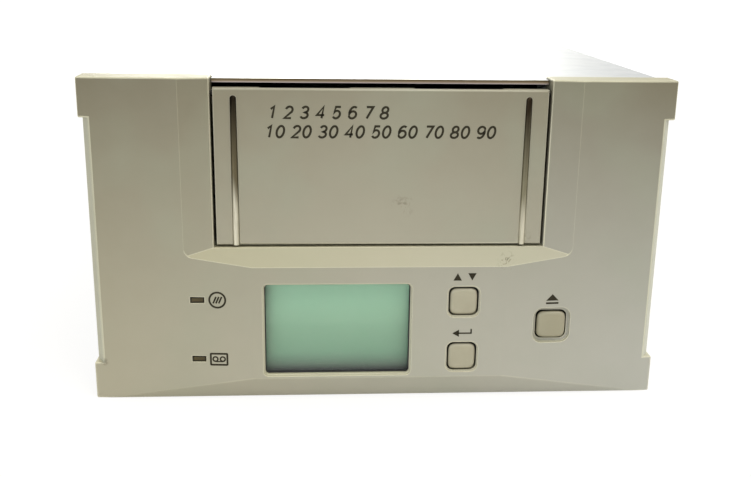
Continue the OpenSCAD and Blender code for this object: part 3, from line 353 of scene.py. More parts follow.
# %% The metals
metal = {"metallic": 1.0}
zinc = surface("zinc_plated_sheet_steel", "B3B5B4", "A7AAAB", 14, 0.36, 0.05, 0.7, 4, **metal)
ground_steel = surface("ground_steel", "C9C9C6", "BDBDBA", 3, 0.16, 0.04, 0.2, 2, **metal)
motor_can = surface("plated_drawn_steel", "B4B5B6", "A7A8AA", 6, 0.3, 0.05, 0.4, 3,
                    stretch=(1, 1, 0.1), **metal)
cast = surface("die_cast_aluminium", "9FA1A2", "929597", 4, 0.52, 0.06, 0.5, 22, **metal)
lapped = surface("lapped_aluminium", "D2D3D4", "C6C8CA", 3, 0.14, 0.03, 0.25, 2,
                 stretch=(0.15, 0.15, 1), **metal)
zinc_screw = surface("zinc_plated_screw_steel", "C9C4AE", "B5AF97", 2, 0.24, 0.05, 0.3, 3, **metal)
spring_steel = surface("oil_blackened_spring_steel", "2B2A28", "35332F", 2, 0.4, 0.05, 0.2, 3, **metal)
brass = surface("machined_brass", "C6A45C", "B7944D", 3, 0.24, 0.05, 0.3, 3, **metal)
print("metals", zinc.name, "to", brass.name)

# %% [markdown]
# A sheared edge of zinc-plated sheet has no zinc. Here the cover's front edge is brown at
# the top and paler and grey lower down.

# %% The cover's sheared front edge
sheared = zinc.copy()
sheared.name = "zinc_plated_sheet_sheared_edge"
tree = sheared.node_tree
xyz = part_of(sheared, "SeparateXYZ").outputs
front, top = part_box("top_cover")[0].y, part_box("top_cover")[1].z
band = add(tree, "MapRange", {"Value": xyz["Z"], "From Min": top - 1.0 * MM, "From Max": top - 0.1 * MM})
tint = add(tree, "ValToRGB", {0: band.outputs[0]})
stops = tint.color_ramp.elements
stops[0].color, stops[1].color = linear("B9B0B0"), linear("4E432B")
stops.new(0.45).color = linear("8B7C66")
near = add(tree, "MapRange", {"Value": xyz["Y"], "From Min": front + 0.2 * MM, "From Max": front + 0.5 * MM,
                              "To Min": 1.0, "To Max": 0.0})
over(sheared, near.outputs[0], tint.outputs[0])

# %% [markdown]
# ## Inner plastics and rubber
# The magazine is dark ABS and the cassettes are dark polystyrene. Gears and runners are
# white acetal, which looks waxy because light goes some way into it. Connectors and
# switches are glass-filled PBT, dull and black. Rubber and foam are black and hardly
# shine. The lamps behind the front are tinted epoxy, clear enough for a sharp highlight.

# %% The inner plastics
magazine_abs = surface("moulded_abs_magazine", "3A3C3E", "323436", 8, 0.46, 0.05, 0.35, 10)
cassette_ps = surface("moulded_polystyrene_cassette", "24262B", "1E2024", 8, 0.34, 0.05, 0.3, 6)
acetal = surface("moulded_acetal", "E2DFD4", "D8D4C7", 6, 0.36, 0.04, 0.4, 3, ior=1.48,
                 **{"Subsurface Weight": 0.15, "Subsurface Scale": 0.002})
black_pbt = surface("glass_filled_pbt_black", "202022", "29292B", 3, 0.5, 0.05, 0.3, 8)
rubber = surface("moulded_rubber", "1E1E1F", "28282A", 3, 0.72, 0.06, 0.3, 10)
foam = surface("open_cell_foam", "17181A", "232427", 2, 0.85, 0.05, 0.5, 60)
epoxy_lamp = surface("clear_epoxy_lamp", "7E8540", "747B3A", 2, 0.2, 0.03, 0.5, 2, ior=1.52)
print("plastics", magazine_abs.name, "to", epoxy_lamp.name)

# %% Put each material on its nodes
coat(sheared, "top_cover")
coat(zinc, "chassis_tray", "rear_panel", "magazine_deck", "lcd_frame", "board_screws",
     "elevator_carriage", "motor_bracket", "elevator_bridge", "pinch_arm", "cassette_holder")
coat(spring_steel, "door_spring", "door_hinge_pin")
coat(ground_steel, "guide_rods", "lead_screw", "capstan", "guide_posts")
coat(motor_can, "eject_motor", "elevator_motor", "capstan_motor")
coat(cast, "drive_frame")
coat(lapped, "lower_drum", "head_drum")
coat(brass, "eject_pinion", "elevator_pinion")
coat(magazine_abs, "magazine_shell")
coat(cassette_ps, *["cassette_%d" % k for k in range(1, 7)], "carried_cassette")
coat(acetal, "left_rail", "right_rail", "eject_gear", "picker_sled", "supply_reel_table",
     "takeup_reel_table", "power_connector")
coat(black_pbt, "tact_switches", "scsi_connector", "option_jumpers")
coat(rubber, "drive_isolators", "pinch_roller")
coat(epoxy_lamp, "status_leds")

# %% [markdown]
# ## Meshes from arrays
# A new piece is an array of corners and a list of faces. Four helpers serve all of them:
# one makes the object, one numbers the quads of a grid, one joins several shapes, and one
# merges what meets and turns the faces outwards.

# %% Meshes from arrays
def to_object(name, points, faces, material, smooth=True):
    """Makes a mesh object from arrays of corners in metres and of faces."""
    mesh = bpy.data.meshes.new(name)
    corners = np.asarray(points, float).reshape(-1, 3).tolist()
    mesh.from_pydata(corners, [], [list(map(int, f)) for f in faces])
    mesh.materials.append(material)
    if smooth:
        mesh.shade_smooth()
    made = bpy.data.objects.new(name, mesh)
    bpy.context.scene.collection.objects.link(made)
    print(name, "faces", len(faces))
    return made


def grid_faces(rows, columns, wrap=False):
    """Quads of a grid of rows x columns points; wrap closes the columns into a ring."""
    r, c = np.meshgrid(np.arange(rows - 1), np.arange(columns if wrap else columns - 1), indexing="ij")
    a, b = r * columns + c, r * columns + (c + 1) % columns
    return np.stack([a, b, b + columns, a + columns], -1).reshape(-1, 4)


def gather(shapes):
    """Joins several (points, faces) into one, with the face numbers moved on."""
    points, faces, start = [], [], 0
    for p, f in shapes:
        points.append(p)
        faces += [[start + k for k in face] for face in f]
        start += len(p)
    return np.concatenate(points), faces


def outward(piece):
    """Merges a closed mesh's doubles and turns every face of it outwards."""
    shell = bmesh.new()
    shell.from_mesh(piece.data)
    bmesh.ops.remove_doubles(shell, verts=shell.verts, dist=1e-7)
    bmesh.ops.recalc_face_normals(shell, faces=shell.faces)
    shell.to_mesh(piece.data)
    shell.free()


# %% [markdown]
# ## The stage
# A white floor under a white world. Near the object the floor keeps a quarter of its own
# shading, so that the shadow shows; further out it is plain white to the camera. Only
# camera, glossy and transmission rays see the world as pure white. All other rays get a
# plain level from it, so the lamps decide how things look.

# %% The floor
def floor_grid(half, steps):
    """A square grid at z = -0.05 mm: x and y run over -half..half metres."""
    t = np.linspace(-half, half, steps)
    x, y = np.meshgrid(t, t)
    return np.stack([x, y, np.full_like(x, -0.05 * MM)], -1)


paper = bpy.data.materials.new("white_studio_paper")
paper.use_nodes = True
tree = paper.node_tree
tree.nodes.clear()
seen = add(tree, "LightPath").outputs
away = add(tree, "VectorMath", {0: add(tree, "TexCoord").outputs["Object"]}, operation="LENGTH")
share = add(tree, "MapRange", {"Value": away.outputs["Value"], "From Min": 0.2, "From Max": 0.8,
                               "To Min": 0.75, "To Max": 1.0})
share = add(tree, "Math", {0: seen["Is Camera Ray"], 1: share.outputs[0]}, operation="MULTIPLY")
matt = add(tree, "BsdfDiffuse", {"Color": linear("E6E4DE")})
glow = add(tree, "Emission", {"Color": linear("FFFFFF"), "Strength": 1.09})
mixed = add(tree, "MixShader", {0: share.outputs[0], 1: matt.outputs[0], 2: glow.outputs[0]})
add(tree, "OutputMaterial", {"Surface": mixed.outputs[0]})
floor = to_object("floor", floor_grid(4.0, 9), grid_faces(9, 9), paper)

# %% The world
world = bpy.data.worlds.new("studio")
bpy.context.scene.world = world
world.use_nodes = True
tree = world.node_tree
tree.nodes.clear()
seen = add(tree, "LightPath").outputs
rays = add(tree, "Math", {0: seen["Is Camera Ray"], 1: seen["Is Glossy Ray"]}, operation="ADD")
rays = add(tree, "Math", {0: rays.outputs[0], 1: seen["Is Transmission Ray"]}, operation="ADD",
           use_clamp=True)
plain = add(tree, "Background", {"Color": linear("F2F3F6"), "Strength": 0.48})
white = add(tree, "Background", {"Color": linear("FFFFFF"), "Strength": 1.0})
mixed = add(tree, "MixShader", {0: rays.outputs[0], 1: plain.outputs[0], 2: white.outputs[0]})
add(tree, "OutputWorld", {"Surface": mixed.outputs[0]})
print("world", world.name, "plain level", plain.inputs["Strength"].default_value)

# %% [markdown]
# ## Soft lamps
# Six area lamps stand for softboxes. The key is high in front on the right, a weaker one
# low on the left fills its shadows, and a wide one overhead evens the front out. Two weak
# ones light the sides, and one far behind lights the cover for views from above.


# %% Lamps
def softbox(name, at, aim, size, watts, tint):
    """An area lamp in metres that faces aim: its -Z axis points along aim - at."""
    lamp = bpy.data.objects.new(name, bpy.data.lights.new(name, "AREA"))
    lamp.data.shape = "RECTANGLE"
    lamp.data.size, lamp.data.size_y = size
    lamp.data.energy = watts
    lamp.data.color = linear(tint)[:3]
    turn = (Vector(aim) - Vector(at)).to_track_quat("-Z", "Y")
    lamp.matrix_world = Matrix.Translation(at) @ turn.to_matrix().to_4x4()
    bpy.context.scene.collection.objects.link(lamp)
    print(name, watts, "W from", at)


softbox("key_right", (0.65, -0.8, 1.35), (0, -0.08, 0.04), (0.9, 0.6), 11.6, "FFFAF2")
softbox("fill_low", (-0.9, -1.0, 0.3), (0, -0.08, 0.03), (0.9, 0.5), 3.8, "F4F8FF")
softbox("side_left", (-1.3, 0.1, 0.45), (-0.07, -0.1, 0.04), (0.7, 0.7), 3.2, "FFFDF4")
softbox("side_right", (1.3, 0.1, 0.45), (0.07, -0.1, 0.04), (0.7, 0.7), 4, "FFFDF4")
softbox("top_back", (0.0, 1.9, 0.95), (0, 0.0, 0.08), (1.0, 0.9), 18, "FFFDF6")
softbox("top", (0, -0.25, 1.5), (0, -0.08, 0.05), (1.0, 0.8), 7, "FFFDF6")


# %% [markdown]
# ## Softened edges
# CAD edges are perfectly sharp, but a moulded edge has a radius that catches a thin line
# of light. A copy of the CAD solid is merged from loose triangles, its flat faces are
# joined again, and each outside edge that can be seen gets a small bevel.

# %% Copy, merge and bevel a CAD node
def soften(name, node, body, material, width_mm, weigh, ease=None):
    """weigh(middle of an edge in mm, its length) gives its share of width_mm, 0 to 1, where
    it turns by over 22 degrees. ease(points in mm) may move the copy's points first. An edge
    shades sharp past 28 degrees, or past 0.6 degrees beside a face over 8 square mm."""
    edges = bmesh.new()
    edges.from_mesh(nodes[node].data)
    bmesh.ops.remove_doubles(edges, verts=edges.verts, dist=2e-6)
    bmesh.ops.dissolve_limit(edges, angle_limit=math.radians(0.5), verts=edges.verts, edges=edges.edges)
    layer = edges.edges.layers.float.new("bevel_weight_edge")
    creases, kept = [], 0
    for e in edges.edges:
        turn = math.degrees(e.calc_face_angle(0))
        if len(e.link_faces) == 2 and turn > 22 and e.is_convex:
            centre = (e.verts[0].co + e.verts[1].co) / 2 / MM
            e[layer] = weigh(centre, e.calc_length() / MM)
            kept += e[layer] > 0
        creases.append(turn > 28 or turn > 0.6 and max(f.calc_area() for f in e.link_faces) > 8 * MM * MM)
    mesh = bpy.data.meshes.new(name)
    edges.to_mesh(mesh)
    edges.free()
    if ease:
        points = np.empty(len(mesh.vertices) * 3)
        mesh.vertices.foreach_get("co", points)
        mesh.vertices.foreach_set("co", (ease(points.reshape(-1, 3) / MM) * MM).ravel())
    mesh.shade_smooth()
    mesh.edges.foreach_set("use_edge_sharp", creases)
    mesh.materials.append(material)
    made = bpy.data.objects.new(name, mesh)
    bpy.context.scene.collection.objects.link(made)
    rounding = made.modifiers.new("edge radius", "BEVEL")
    rounding.limit_method = "WEIGHT"
    rounding.width = width_mm * MM
    rounding.segments = 3
    rounding.use_clamp_overlap = False
    rounding.harden_normals = True
    rounding.miter_outer = "MITER_ARC"
    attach(made, body)
    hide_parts(node)
    print(name, "bevels", kept, "edges of", len(mesh.edges))


# %% The bezel and the door
def tuck(points):
    """Moves the front skin back by 0.02 mm, fading out 1.5 mm deep, so that print fits in front."""
    depth = points[:, 1] - FRONT_Y
    points[:, 1] += 0.02 * np.clip(1 - depth / 1.5, 0, 1)
    return points


def weigh_bezel(p, length):
    """Full radius on the outline, half of it past 7 mm, none at the back or in the hinge
    bores; 0.6 on the door opening's long edges, 0.4 round the display; none round the lamps
    and the keys, whose gaps are too narrow for it."""
    depth = p.y - FRONT_Y
    hinge_bore = abs(p.z - 80.4) < 1.2 and abs(p.x) > 42
    if depth > 8.5 or hinge_bore:
        return 0
    if abs(p.x) < 53 and 36 < p.z < 84:
        return 0.6 if length > 40 and depth > 2 else 0
    if (-51 < p.x < -44 or 15 < p.x < 52) and 6 < p.z < 33.5:
        return 0
    if abs(p.x) < 42 and 5 < p.z < 34:
        return 0.4 if depth < 2 else 0
    return 1.0 if depth < 7 else 0.5


def weigh_door(p, length):
    """The door's long edges at its front, which lies 2.7 mm behind the bezel's."""
    return 1.0 if p.y < FRONT_Y + 3.2 and length > 30 else 0


soften("softened_bezel", "front_bezel", "chassis", bezel_abs, 0.35, weigh_bezel, tuck)
soften("softened_door", "magazine_door", "door", door_abs, 0.22, weigh_door)

# %% [markdown]
# The magazine's front corners are rounded like the door's. The case and its cover are bent
# from sheet, so only their four long corners are round.

# %% The magazine, the case and the cover
magazine_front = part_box("magazine_shell")[0].y / MM
CASE_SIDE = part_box("chassis_screws")[1].x / MM
soften("softened_magazine", "magazine_shell", "magazine", magazine_abs, 0.4,
       lambda p, length: 1.0 if p.y < magazine_front + 0.1 and length > 20 else 0)
soften("bent_case", "chassis_tray", "chassis", zinc, 0.5,
       lambda p, length: 1.0 if p.z < 1.6 and abs(p.x) > CASE_SIDE - 0.125 and length > 150 else 0)
soften("bent_cover", "top_cover", "chassis", sheared, 0.5,
       lambda p, length: 1.0 if p.z > 83.9 and abs(p.x) > CASE_SIDE - 0.125 and length > 150 else 0)

# %% [markdown]
# ## The keys
# Each key is a small pillow of ABS: a rounded square in outline, a soft edge of about a
# millimetre, and a crown so slight that it shows only in its highlight. One profile of
# (size, depth) pairs is carried round the outline, from the middle of the crown over the
# edge, down the side, out to the flange that keeps it in, and back along the stem.


# %% Key caps from a profile and an outline
FLANGE_OUT, FLANGE_THICK, STEM_R = 0.8, 0.6, 1.6


def squircle(turn, half_w, half_h, power):
    """Superellipse: x = w sign(cos) |cos|^(2/p), z = h sign(sin) |sin|^(2/p)."""
    c, s = np.cos(turn), np.sin(turn)
    return half_w * np.sign(c) * np.abs(c) ** (2 / power), half_h * np.sign(s) * np.abs(s) ** (2 / power)


def key_cap(name, x, z, width, height, front, flange, stem_end):
    """Ring k is a squircle of size(k) at depth(k) behind front: a crown that falls with the
    square of its size, a quarter round of edge mm, the side down to the flange, and the
    flange. Round rings carry the stem on to its end, which has a small chamfer."""
    steps, edge, crown = 64, 0.95, 0.096
    bend = np.linspace(0, 1, 9) * math.pi / 2
    inner = np.linspace(0.02, 1, 10)[:-1] * (1 - edge * 2 / width)
    wide = 1 + 2 * FLANGE_OUT / width
    size = np.concatenate([inner, 1 - (edge * 2 / width) * (1 - np.sin(bend)), [1, wide, wide]])
    depth = np.concatenate([crown * (inner / inner[-1]) ** 2, crown + edge * (1 - np.cos(bend)),
                            [flange, flange, flange + FLANGE_THICK]])
    power = np.concatenate([np.full(9, 3.2), np.full(12, 4.6)])
    turn = np.linspace(0, 2 * math.pi, steps, endpoint=False)
    cap_x, cap_z = squircle(turn, width / 2 * size[:, None], height / 2 * size[:, None], power[:, None])
    stem = np.array([(STEM_R, flange + FLANGE_THICK), (STEM_R, stem_end - 0.2),
                     (STEM_R - 0.2, stem_end), (0.02, stem_end)])
    ring_x = np.concatenate([cap_x, stem[:, :1] * np.cos(turn)])
    ring_z = np.concatenate([cap_z, stem[:, :1] * np.sin(turn)])
    ring_y = np.concatenate([depth, stem[:, 1]])[:, None] + np.zeros(steps)
    points = np.stack([x + ring_x, front + ring_y, z + ring_z], -1)
    last = (len(points) - 1) * steps
    faces = [list(f) for f in grid_faces(len(points), steps, wrap=True)]
    faces += [list(range(steps))[::-1], list(range(last, last + steps))]
    cap = to_object(name, points * MM, faces, key_abs)
    cap.data.set_sharp_from_angle(angle=math.radians(50))
    outward(cap)
    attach(cap, name)
    return cap


for key, flange in (("select", 2.55), ("enter", 2.55), ("eject", 2.89)):
    low, high = (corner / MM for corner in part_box(key + "_button"))
    at, wide, tall = (low + high) / 2, high.x - low.x - 2 * FLANGE_OUT, high.z - low.z - 2 * FLANGE_OUT
    cap = key_cap(key + "_key", at.x, at.z, wide, tall, low.y, flange, high.y - low.y)
    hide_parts(key + "_button")
    print(key, "key", round(wide, 2), "x", round(tall, 2), "mm, depth", round(high.y - low.y, 2))

# %% [markdown]
# ## The case's screws
# Ten flush screws hold the bezel and the cover. Each head is a disc of rings and spokes
# whose points sink into a cross recess; the cross leans by another angle on each screw.


# %% Cross-recess screws from one height field
def screw(side, y, z, shank, lean):
    """Depth into the head is 0.6 mm where arm < 1, with soft walls: arm is the smaller of
    max(|u| / 0.3, |v| / 1.4) and the same with u and v changed over, u and v in mm."""
    spokes = 64
    turn = np.linspace(0, 2 * math.pi, spokes, endpoint=False)
    radius = np.concatenate([[0.03], np.linspace(0.12, 1.7, 18), [2.0, 2.22, 2.3, 2.3, 1.05, 1.05]])
    u, v = radius[:, None] * np.cos(turn + lean), radius[:, None] * np.sin(turn + lean)
    arm = np.minimum(np.maximum(abs(u) / 0.3, abs(v) / 1.4), np.maximum(abs(v) / 0.3, abs(u) / 1.4))
    wall = np.clip((1.25 - arm) / 0.4, 0, 1)
    depth = 0.6 * wall * wall * (3 - 2 * wall)
    depth[-6:] = np.array([0, 0.02, 0.1, 0.95, 0.95, shank])[:, None]
    x = side * (CASE_SIDE - depth)
    points = np.stack([x, y + radius[:, None] * np.cos(turn), z + radius[:, None] * np.sin(turn)], -1)
    last = (len(radius) - 1) * spokes
    faces = [list(f) for f in grid_faces(len(radius), spokes, wrap=True)]
    return points.reshape(-1, 3), faces + [list(range(spokes)), list(range(last, last + spokes))]


# Each side's screws: mm behind the front, height, and how deep the shank goes
places = [(17, 20, 4.9), (17, 64, 4.9), (34, 78, 3.3), (110, 78, 3.3), (197.2, 78, 3.3)]
leans = np.random.default_rng(11).uniform(0, math.pi / 2, (2, 5))
points, faces = gather([screw(side, FRONT_Y + y, z, shank, leans[row, k])
                        for row, side in enumerate((-1, 1)) for k, (y, z, shank) in enumerate(places)])
screws = to_object("cross_recess_screws", points * MM, faces, zinc_screw)
outward(screws)
screws.data.set_sharp_from_angle(angle=math.radians(40))
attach(screws, "chassis")
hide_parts("chassis_screws")

# %% [markdown]
# Behind the slots in each side a thin scrim keeps dust out, so no daylight shows inside.

# %% Dust scrims
def slab(low, high):
    """A box between two corners, its eight points numbered in binary by x, y and z."""
    low, high = np.array(low, float), np.array(high, float)
    bits = np.array([[k >> 2 & 1, k >> 1 & 1, k & 1] for k in range(8)])
    faces = [[0, 1, 3, 2], [4, 6, 7, 5], [0, 4, 5, 1], [2, 3, 7, 6], [0, 2, 6, 4], [1, 5, 7, 3]]
    return low + bits * (high - low), faces


# Cloth 0.3 mm thick, 1.25 mm inside the case's side, over the field of slots
scrim_x, cloth = CASE_SIDE - 1.25, 0.3
slots_y, slots_z = (FRONT_Y + 145.8, FRONT_Y + 187.2), (51.8, 73.7)
points, faces = gather([slab((side * scrim_x - cloth / 2, slots_y[0], slots_z[0]),
                             (side * scrim_x + cloth / 2, slots_y[1], slots_z[1])) for side in (-1, 1)])
scrim = to_object("dust_scrims", points * MM, faces, foam, smooth=False)
outward(scrim)
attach(scrim, "chassis")

# %% [markdown]
# ## The skid strips
# Two steel wires are let into the door. Their colour carries a painted reflection: bright
# at their lower ends, dark brown higher up. The change is a ramp by height, broken up by a
# noise that is stretched along the wire. Fine scratches on the bright part come from a
# thinner noise; real ones are a few hundredths of a millimetre, too fine to show, so these
# are coarser.

# %% Steel wire with a painted reflection
skid = surface("drawn_steel_wire_painted_reflection", "DCD9C9", "C6C2B0", 2, 0.42, 0.08, 0.18, 6,
               stretch=(1, 1, 0.06), **metal)
tree = skid.node_tree
along, xyz = part_of(skid, "Mapping").outputs[0], part_of(skid, "SeparateXYZ").outputs
streak_mm = 10 / 9  # across the wire
streak = add(tree, "TexNoise", {"Vector": along, "Scale": 1000 / streak_mm, "Detail": 3.0})
lean = add(tree, "Math", {0: xyz["X"], 1: 0.05, 2: xyz["Z"]}, operation="MULTIPLY_ADD")
ragged = add(tree, "Math", {0: streak.outputs["Fac"], 1: 12 * MM, 2: lean.outputs[0]},
             operation="MULTIPLY_ADD")
# Painted reflection: the wire is bright below a ragged line, pale brown above it, darkest brown near the top
reflection_ramp = add(tree, "MapRange", {"Value": ragged.outputs[0], "From Min": 52.5 * MM, "From Max": 64.5 * MM},
          interpolation_type="SMOOTHSTEP")
darker_higher = add(tree, "MapRange", {"Value": ragged.outputs[0], "From Min": 66 * MM, "From Max": 84 * MM})
across = add(tree, "MapRange", {"Value": xyz["X"], "From Min": -30 * MM, "From Max": 30 * MM})
pale = add(tree, "Mix", {0: across.outputs[0], 6: linear("655E4A"), 7: linear("7C7864")}, data_type="RGBA")
dark = add(tree, "Mix", {0: across.outputs[0], 6: linear("19150F"), 7: linear("2B241B")}, data_type="RGBA")
brown = add(tree, "Mix", {0: darker_higher.outputs[0], 6: pale.outputs[2], 7: dark.outputs[2]}, data_type="RGBA")
over(skid, reflection_ramp.outputs[0], brown.outputs[2])
scratch = add(tree, "TexNoise", {"Vector": along, "Scale": 2000 / streak_mm, "Detail": 2.0})
scratch = add(tree, "MapRange", {"Value": scratch.outputs["Fac"], "From Min": 0.54, "From Max": 0.66,
                                 "To Max": 0.5})
bright = add(tree, "Math", {0: 1.0, 1: reflection_ramp.outputs[0]}, operation="SUBTRACT")
scratch = add(tree, "Math", {0: scratch.outputs[0], 1: bright.outputs[0]}, operation="MULTIPLY")
over(skid, scratch.outputs[0], "8E8A74")
coat(skid, "door_skid_strips")

# %% [markdown]
# ## The display
# A reflective display is grey-green where it is off. Its glass sits some millimetres
# behind the face. Its colour carries painted light and shade: lighter towards the top,
# darker towards the bottom, and a painted shadow along its lower and left edges. The clear
# window in front is thin acrylic: a film that hardly shows.

# %% Display glass and window
lcd = surface("reflective_display_glass", "7EB08D", "7BAC8A", 20, 0.3, 0.02, 2.0, 0.05)
tree = lcd.node_tree
xyz = part_of(lcd, "SeparateXYZ").outputs
HIDDEN = 1.2  # the window's rim behind the bezel, mm
win_low, win_high = (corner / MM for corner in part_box("lcd_window"))
left, bottom = win_low.x + HIDDEN, win_low.z + HIDDEN
# Painted shade: darker towards the bottom
slope = add(tree, "MapRange", {"Value": xyz["Z"], "From Min": (bottom + 2) * MM,
                               "From Max": (bottom + 14) * MM, "To Min": 0.75, "To Max": 0.0})
over(lcd, slope.outputs[0], "498462")
# Painted light: lighter towards the top
high = add(tree, "MapRange", {"Value": xyz["Z"], "From Min": (bottom + 12) * MM,
                              "From Max": (bottom + 24) * MM})
over(lcd, high.outputs[0], "97CFAC")
# Painted shadow along the lower and left edges
rise = add(tree, "MapRange", {"Value": xyz["Z"], "From Min": bottom * MM,
                              "From Max": (bottom + 5.5) * MM, "To Min": 1.0, "To Max": 0.0})
side = add(tree, "MapRange", {"Value": xyz["X"], "From Min": (left - 0.2) * MM,
                              "From Max": (left + 2.4) * MM, "To Min": 0.62, "To Max": 0.0})
rise, side = (add(tree, "Math", {0: edge.outputs[0], 1: 1.6}, operation="POWER") for edge in (rise, side))
shaded = add(tree, "Math", {0: rise.outputs[0], 1: side.outputs[0]}, operation="MAXIMUM")
over(lcd, shaded.outputs[0], "15190F")
coat(lcd, "lcd_panel")

acrylic = surface("clear_acrylic_window", "E9F2EC", "E4EEE8", 10, 0.06, 0.01, 3.0, 0.02, ior=1.49,
                  **{"Alpha": 0.08})
coat(acrylic, "lcd_window")


# %% [markdown]
# ## Bands
# The display's seal, the frames and the signs are all bands: a flat section carried along
# a path in the face. One function lays the path round a rounded rectangle, another turns
# a path into a band whose corners are mitred and whose depth may follow the face.

# %% Bands, and the display's seal
def frame_path(x0, x1, z0, z1, radius, steps):
    """Corner points of a rounded rectangle: four quarter circles, joined by straight runs."""
    turn = np.linspace(0, math.pi / 2, steps)
    centres = [(x1 - radius, z1 - radius), (x0 + radius, z1 - radius),
               (x0 + radius, z0 + radius), (x1 - radius, z0 + radius)]
    return np.concatenate([np.stack([cx + radius * np.cos(turn + k * math.pi / 2),
                                     cz + radius * np.sin(turn + k * math.pi / 2)], -1)
                           for k, (cx, cz) in enumerate(centres)])


def level(y):
    """A depth that is the same everywhere, as a function of x."""
    return lambda x: np.full_like(x, y)


def ribbon(path, width, front, thick, closed=True):
    """A flat band of the given width carried along an (x, z) path in mm: each station has
    four corners, left and right of the path's mitre, at depth front(x) and front(x) + thick."""
    ahead = np.roll(path, -1, 0) - path
    behind = path - np.roll(path, 1, 0)
    if not closed:
        ahead[-1], behind[0] = behind[-1], ahead[0]
    ahead /= np.linalg.norm(ahead, axis=1, keepdims=True)
    behind /= np.linalg.norm(behind, axis=1, keepdims=True)
    along = ahead + behind
    along /= np.linalg.norm(along, axis=1, keepdims=True)
    stretch = 1 / np.maximum(0.5, (along * ahead).sum(1))
    across = np.stack([-along[:, 1], along[:, 0]], -1) * (width / 2 * stretch)[:, None]
    one, other = path + across, path - across
    corners = [np.stack([s[:, 0], front(s[:, 0]) + d, s[:, 1]], -1)
               for s, d in ((one, 0), (other, 0), (other, thick), (one, thick))]
    points = np.stack(corners, 1).reshape(-1, 3)
    faces = [list(f) for f in grid_faces(len(path) + closed, 4, wrap=True) % len(points)]
    if not closed:
        faces += [[3, 2, 1, 0], list(range(len(points) - 4, len(points)))]
    return points, faces


seal_path = frame_path(left, win_high.x - HIDDEN, bottom, win_high.z - HIDDEN, 1.0, 8)
points, faces = ribbon(seal_path, 0.5, level(FRONT_Y + 1.5), 0.93)
seal = to_object("display_seal", points * MM, faces, rubber, smooth=False)
outward(seal)
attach(seal, "chassis")

# %% [markdown]
# ## Printed marks, and painted shade round the lamps
# Pad printing lays a film of ink a few hundredths of a millimetre thick. The marks beside
# the lamps and over the keys are plain signs: bands carried along a path, and small solid
# plates. A narrow dark frame round each lamp's lens is painted shade for the gap round the
# lens, made in the same ink. The door has two rows of plain numbers. Ink is nearly black
# and dull, with half the usual reflection.

# %% Ink, plates, rings and strokes
ink = surface("pad_printed_ink_and_lens_shade", "231F11", "2C2818", 0.6, 0.6, 0.06, 0.12, 2, **{"Specular IOR Level": 0.25})
FILM = 0.05


def plate(*outline):
    """A flat plate of ink: the outline in front, the same FILM mm behind, and its rim."""
    outline = np.array(outline, float)
    count = len(outline)
    points = np.concatenate([np.stack([outline[:, 0], face_depth(outline[:, 0]) + d, outline[:, 1]], -1)
                             for d in (0.0, FILM)])
    faces = [list(range(count)), list(range(count, 2 * count))[::-1]]
    return points, faces + [[k, k + count, (k + 1) % count + count, (k + 1) % count] for k in range(count)]


def arrowhead(x, base, tip, half):
    """A triangle whose base is 2 half wide at height base, with its tip at height tip."""
    return plate((x - half, base), (x + half, base), (x, tip))


def ring(x, z, radius, width):
    """A circle of 40 steps drawn with a band of ink."""
    turn = np.linspace(0, 2 * math.pi, 40, endpoint=False)
    circle = np.stack([x + radius * np.cos(turn), z + radius * np.sin(turn)], -1)
    return ribbon(circle, width, face_depth, FILM)


def stroke(*ends, width):
    """A straight or bent line of ink through the given points, five steps to a stretch."""
    path = np.concatenate([np.linspace(a, b, 6)[:-1] for a, b in zip(ends, ends[1:])] + [[ends[-1]]])
    return ribbon(path.astype(float), width, face_depth, FILM, closed=False)


# %% The signs on the face, and painted shade round the lamps
SIGN_X, LAMPS_X, LAMPS_Z = -41.9, -47.05, (27.8, 11.55)
lens_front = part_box("status_lenses")[0].y / MM - 0.02
# Round each lamp's lens a narrow dark frame in ink: painted shade for the gap round the lens
signs_and_lens_shade = [ribbon(frame_path(LAMPS_X - 1.6, LAMPS_X + 1.6, z - 0.6, z + 0.6, 0.08, 3), 0.3,
                level(lens_front), FILM) for z in LAMPS_Z]
# Beside the upper lamp a ring with three slashes: the tape drive is at work
signs_and_lens_shade += [ring(SIGN_X, 27.9, 2.05, 0.5)]
signs_and_lens_shade += [stroke((x - 1.1, 27.0), (x - 0.3, 28.8), width=0.44) for x in SIGN_X + 0.72 * np.arange(3)]
# Beside the lower lamp a cassette: a frame, two reels and the tape under them
signs_and_lens_shade += [ribbon(frame_path(SIGN_X - 2.15, SIGN_X + 2.15, 9.95, 13.05, 0.15, 3), 0.5, face_depth, FILM)]
signs_and_lens_shade += [ring(SIGN_X + side * 0.95, 11.55, 0.62, 0.42) for side in (-1, 1)]
signs_and_lens_shade += [stroke((SIGN_X - 0.95, 10.85), (SIGN_X + 0.95, 10.85), width=0.34)]
# Over the keys: up and down, a bent return arrow, and an arrow over a bar for eject
signs_and_lens_shade += [arrowhead(20.1, 33, 35, 1.1), arrowhead(23.9, 35, 33, 1.1)]
signs_and_lens_shade += [stroke((24.2, 19.6), (24.2, 18.4), (20.6, 18.4), width=0.4)]
signs_and_lens_shade += [plate((21.0, 17.4), (21.0, 19.4), (19.2, 18.4))]
signs_and_lens_shade += [arrowhead(EJECT_X, 27, 28.8, 1.7), stroke((EJECT_X - 1.7, 26.3), (EJECT_X + 1.7, 26.3), width=0.5)]
points, faces = gather(signs_and_lens_shade)
print_and_lens_shade = to_object("printed_signs_and_lens_shade", points * MM, faces, ink, smooth=False)
outward(print_and_lens_shade)
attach(print_and_lens_shade, "chassis")

# %% [markdown]
# The numerals are drawn in a unit square from straight runs and arcs, leaned to the right
# by a fifth, and carried out as bands like the signs. They are all of one plain weight.


# %% Rows of numbers on the door
def arc(x, z, rx, rz, start, end):
    """Twenty points on an ellipse from start to end, in degrees."""
    t = np.radians(np.linspace(start, end, 20))
    return np.stack([x + rx * np.cos(t), z + rz * np.sin(t)], -1)


def joined(*parts):
    """One path through several runs of points."""
    return np.concatenate([np.asarray(part, float) for part in parts])


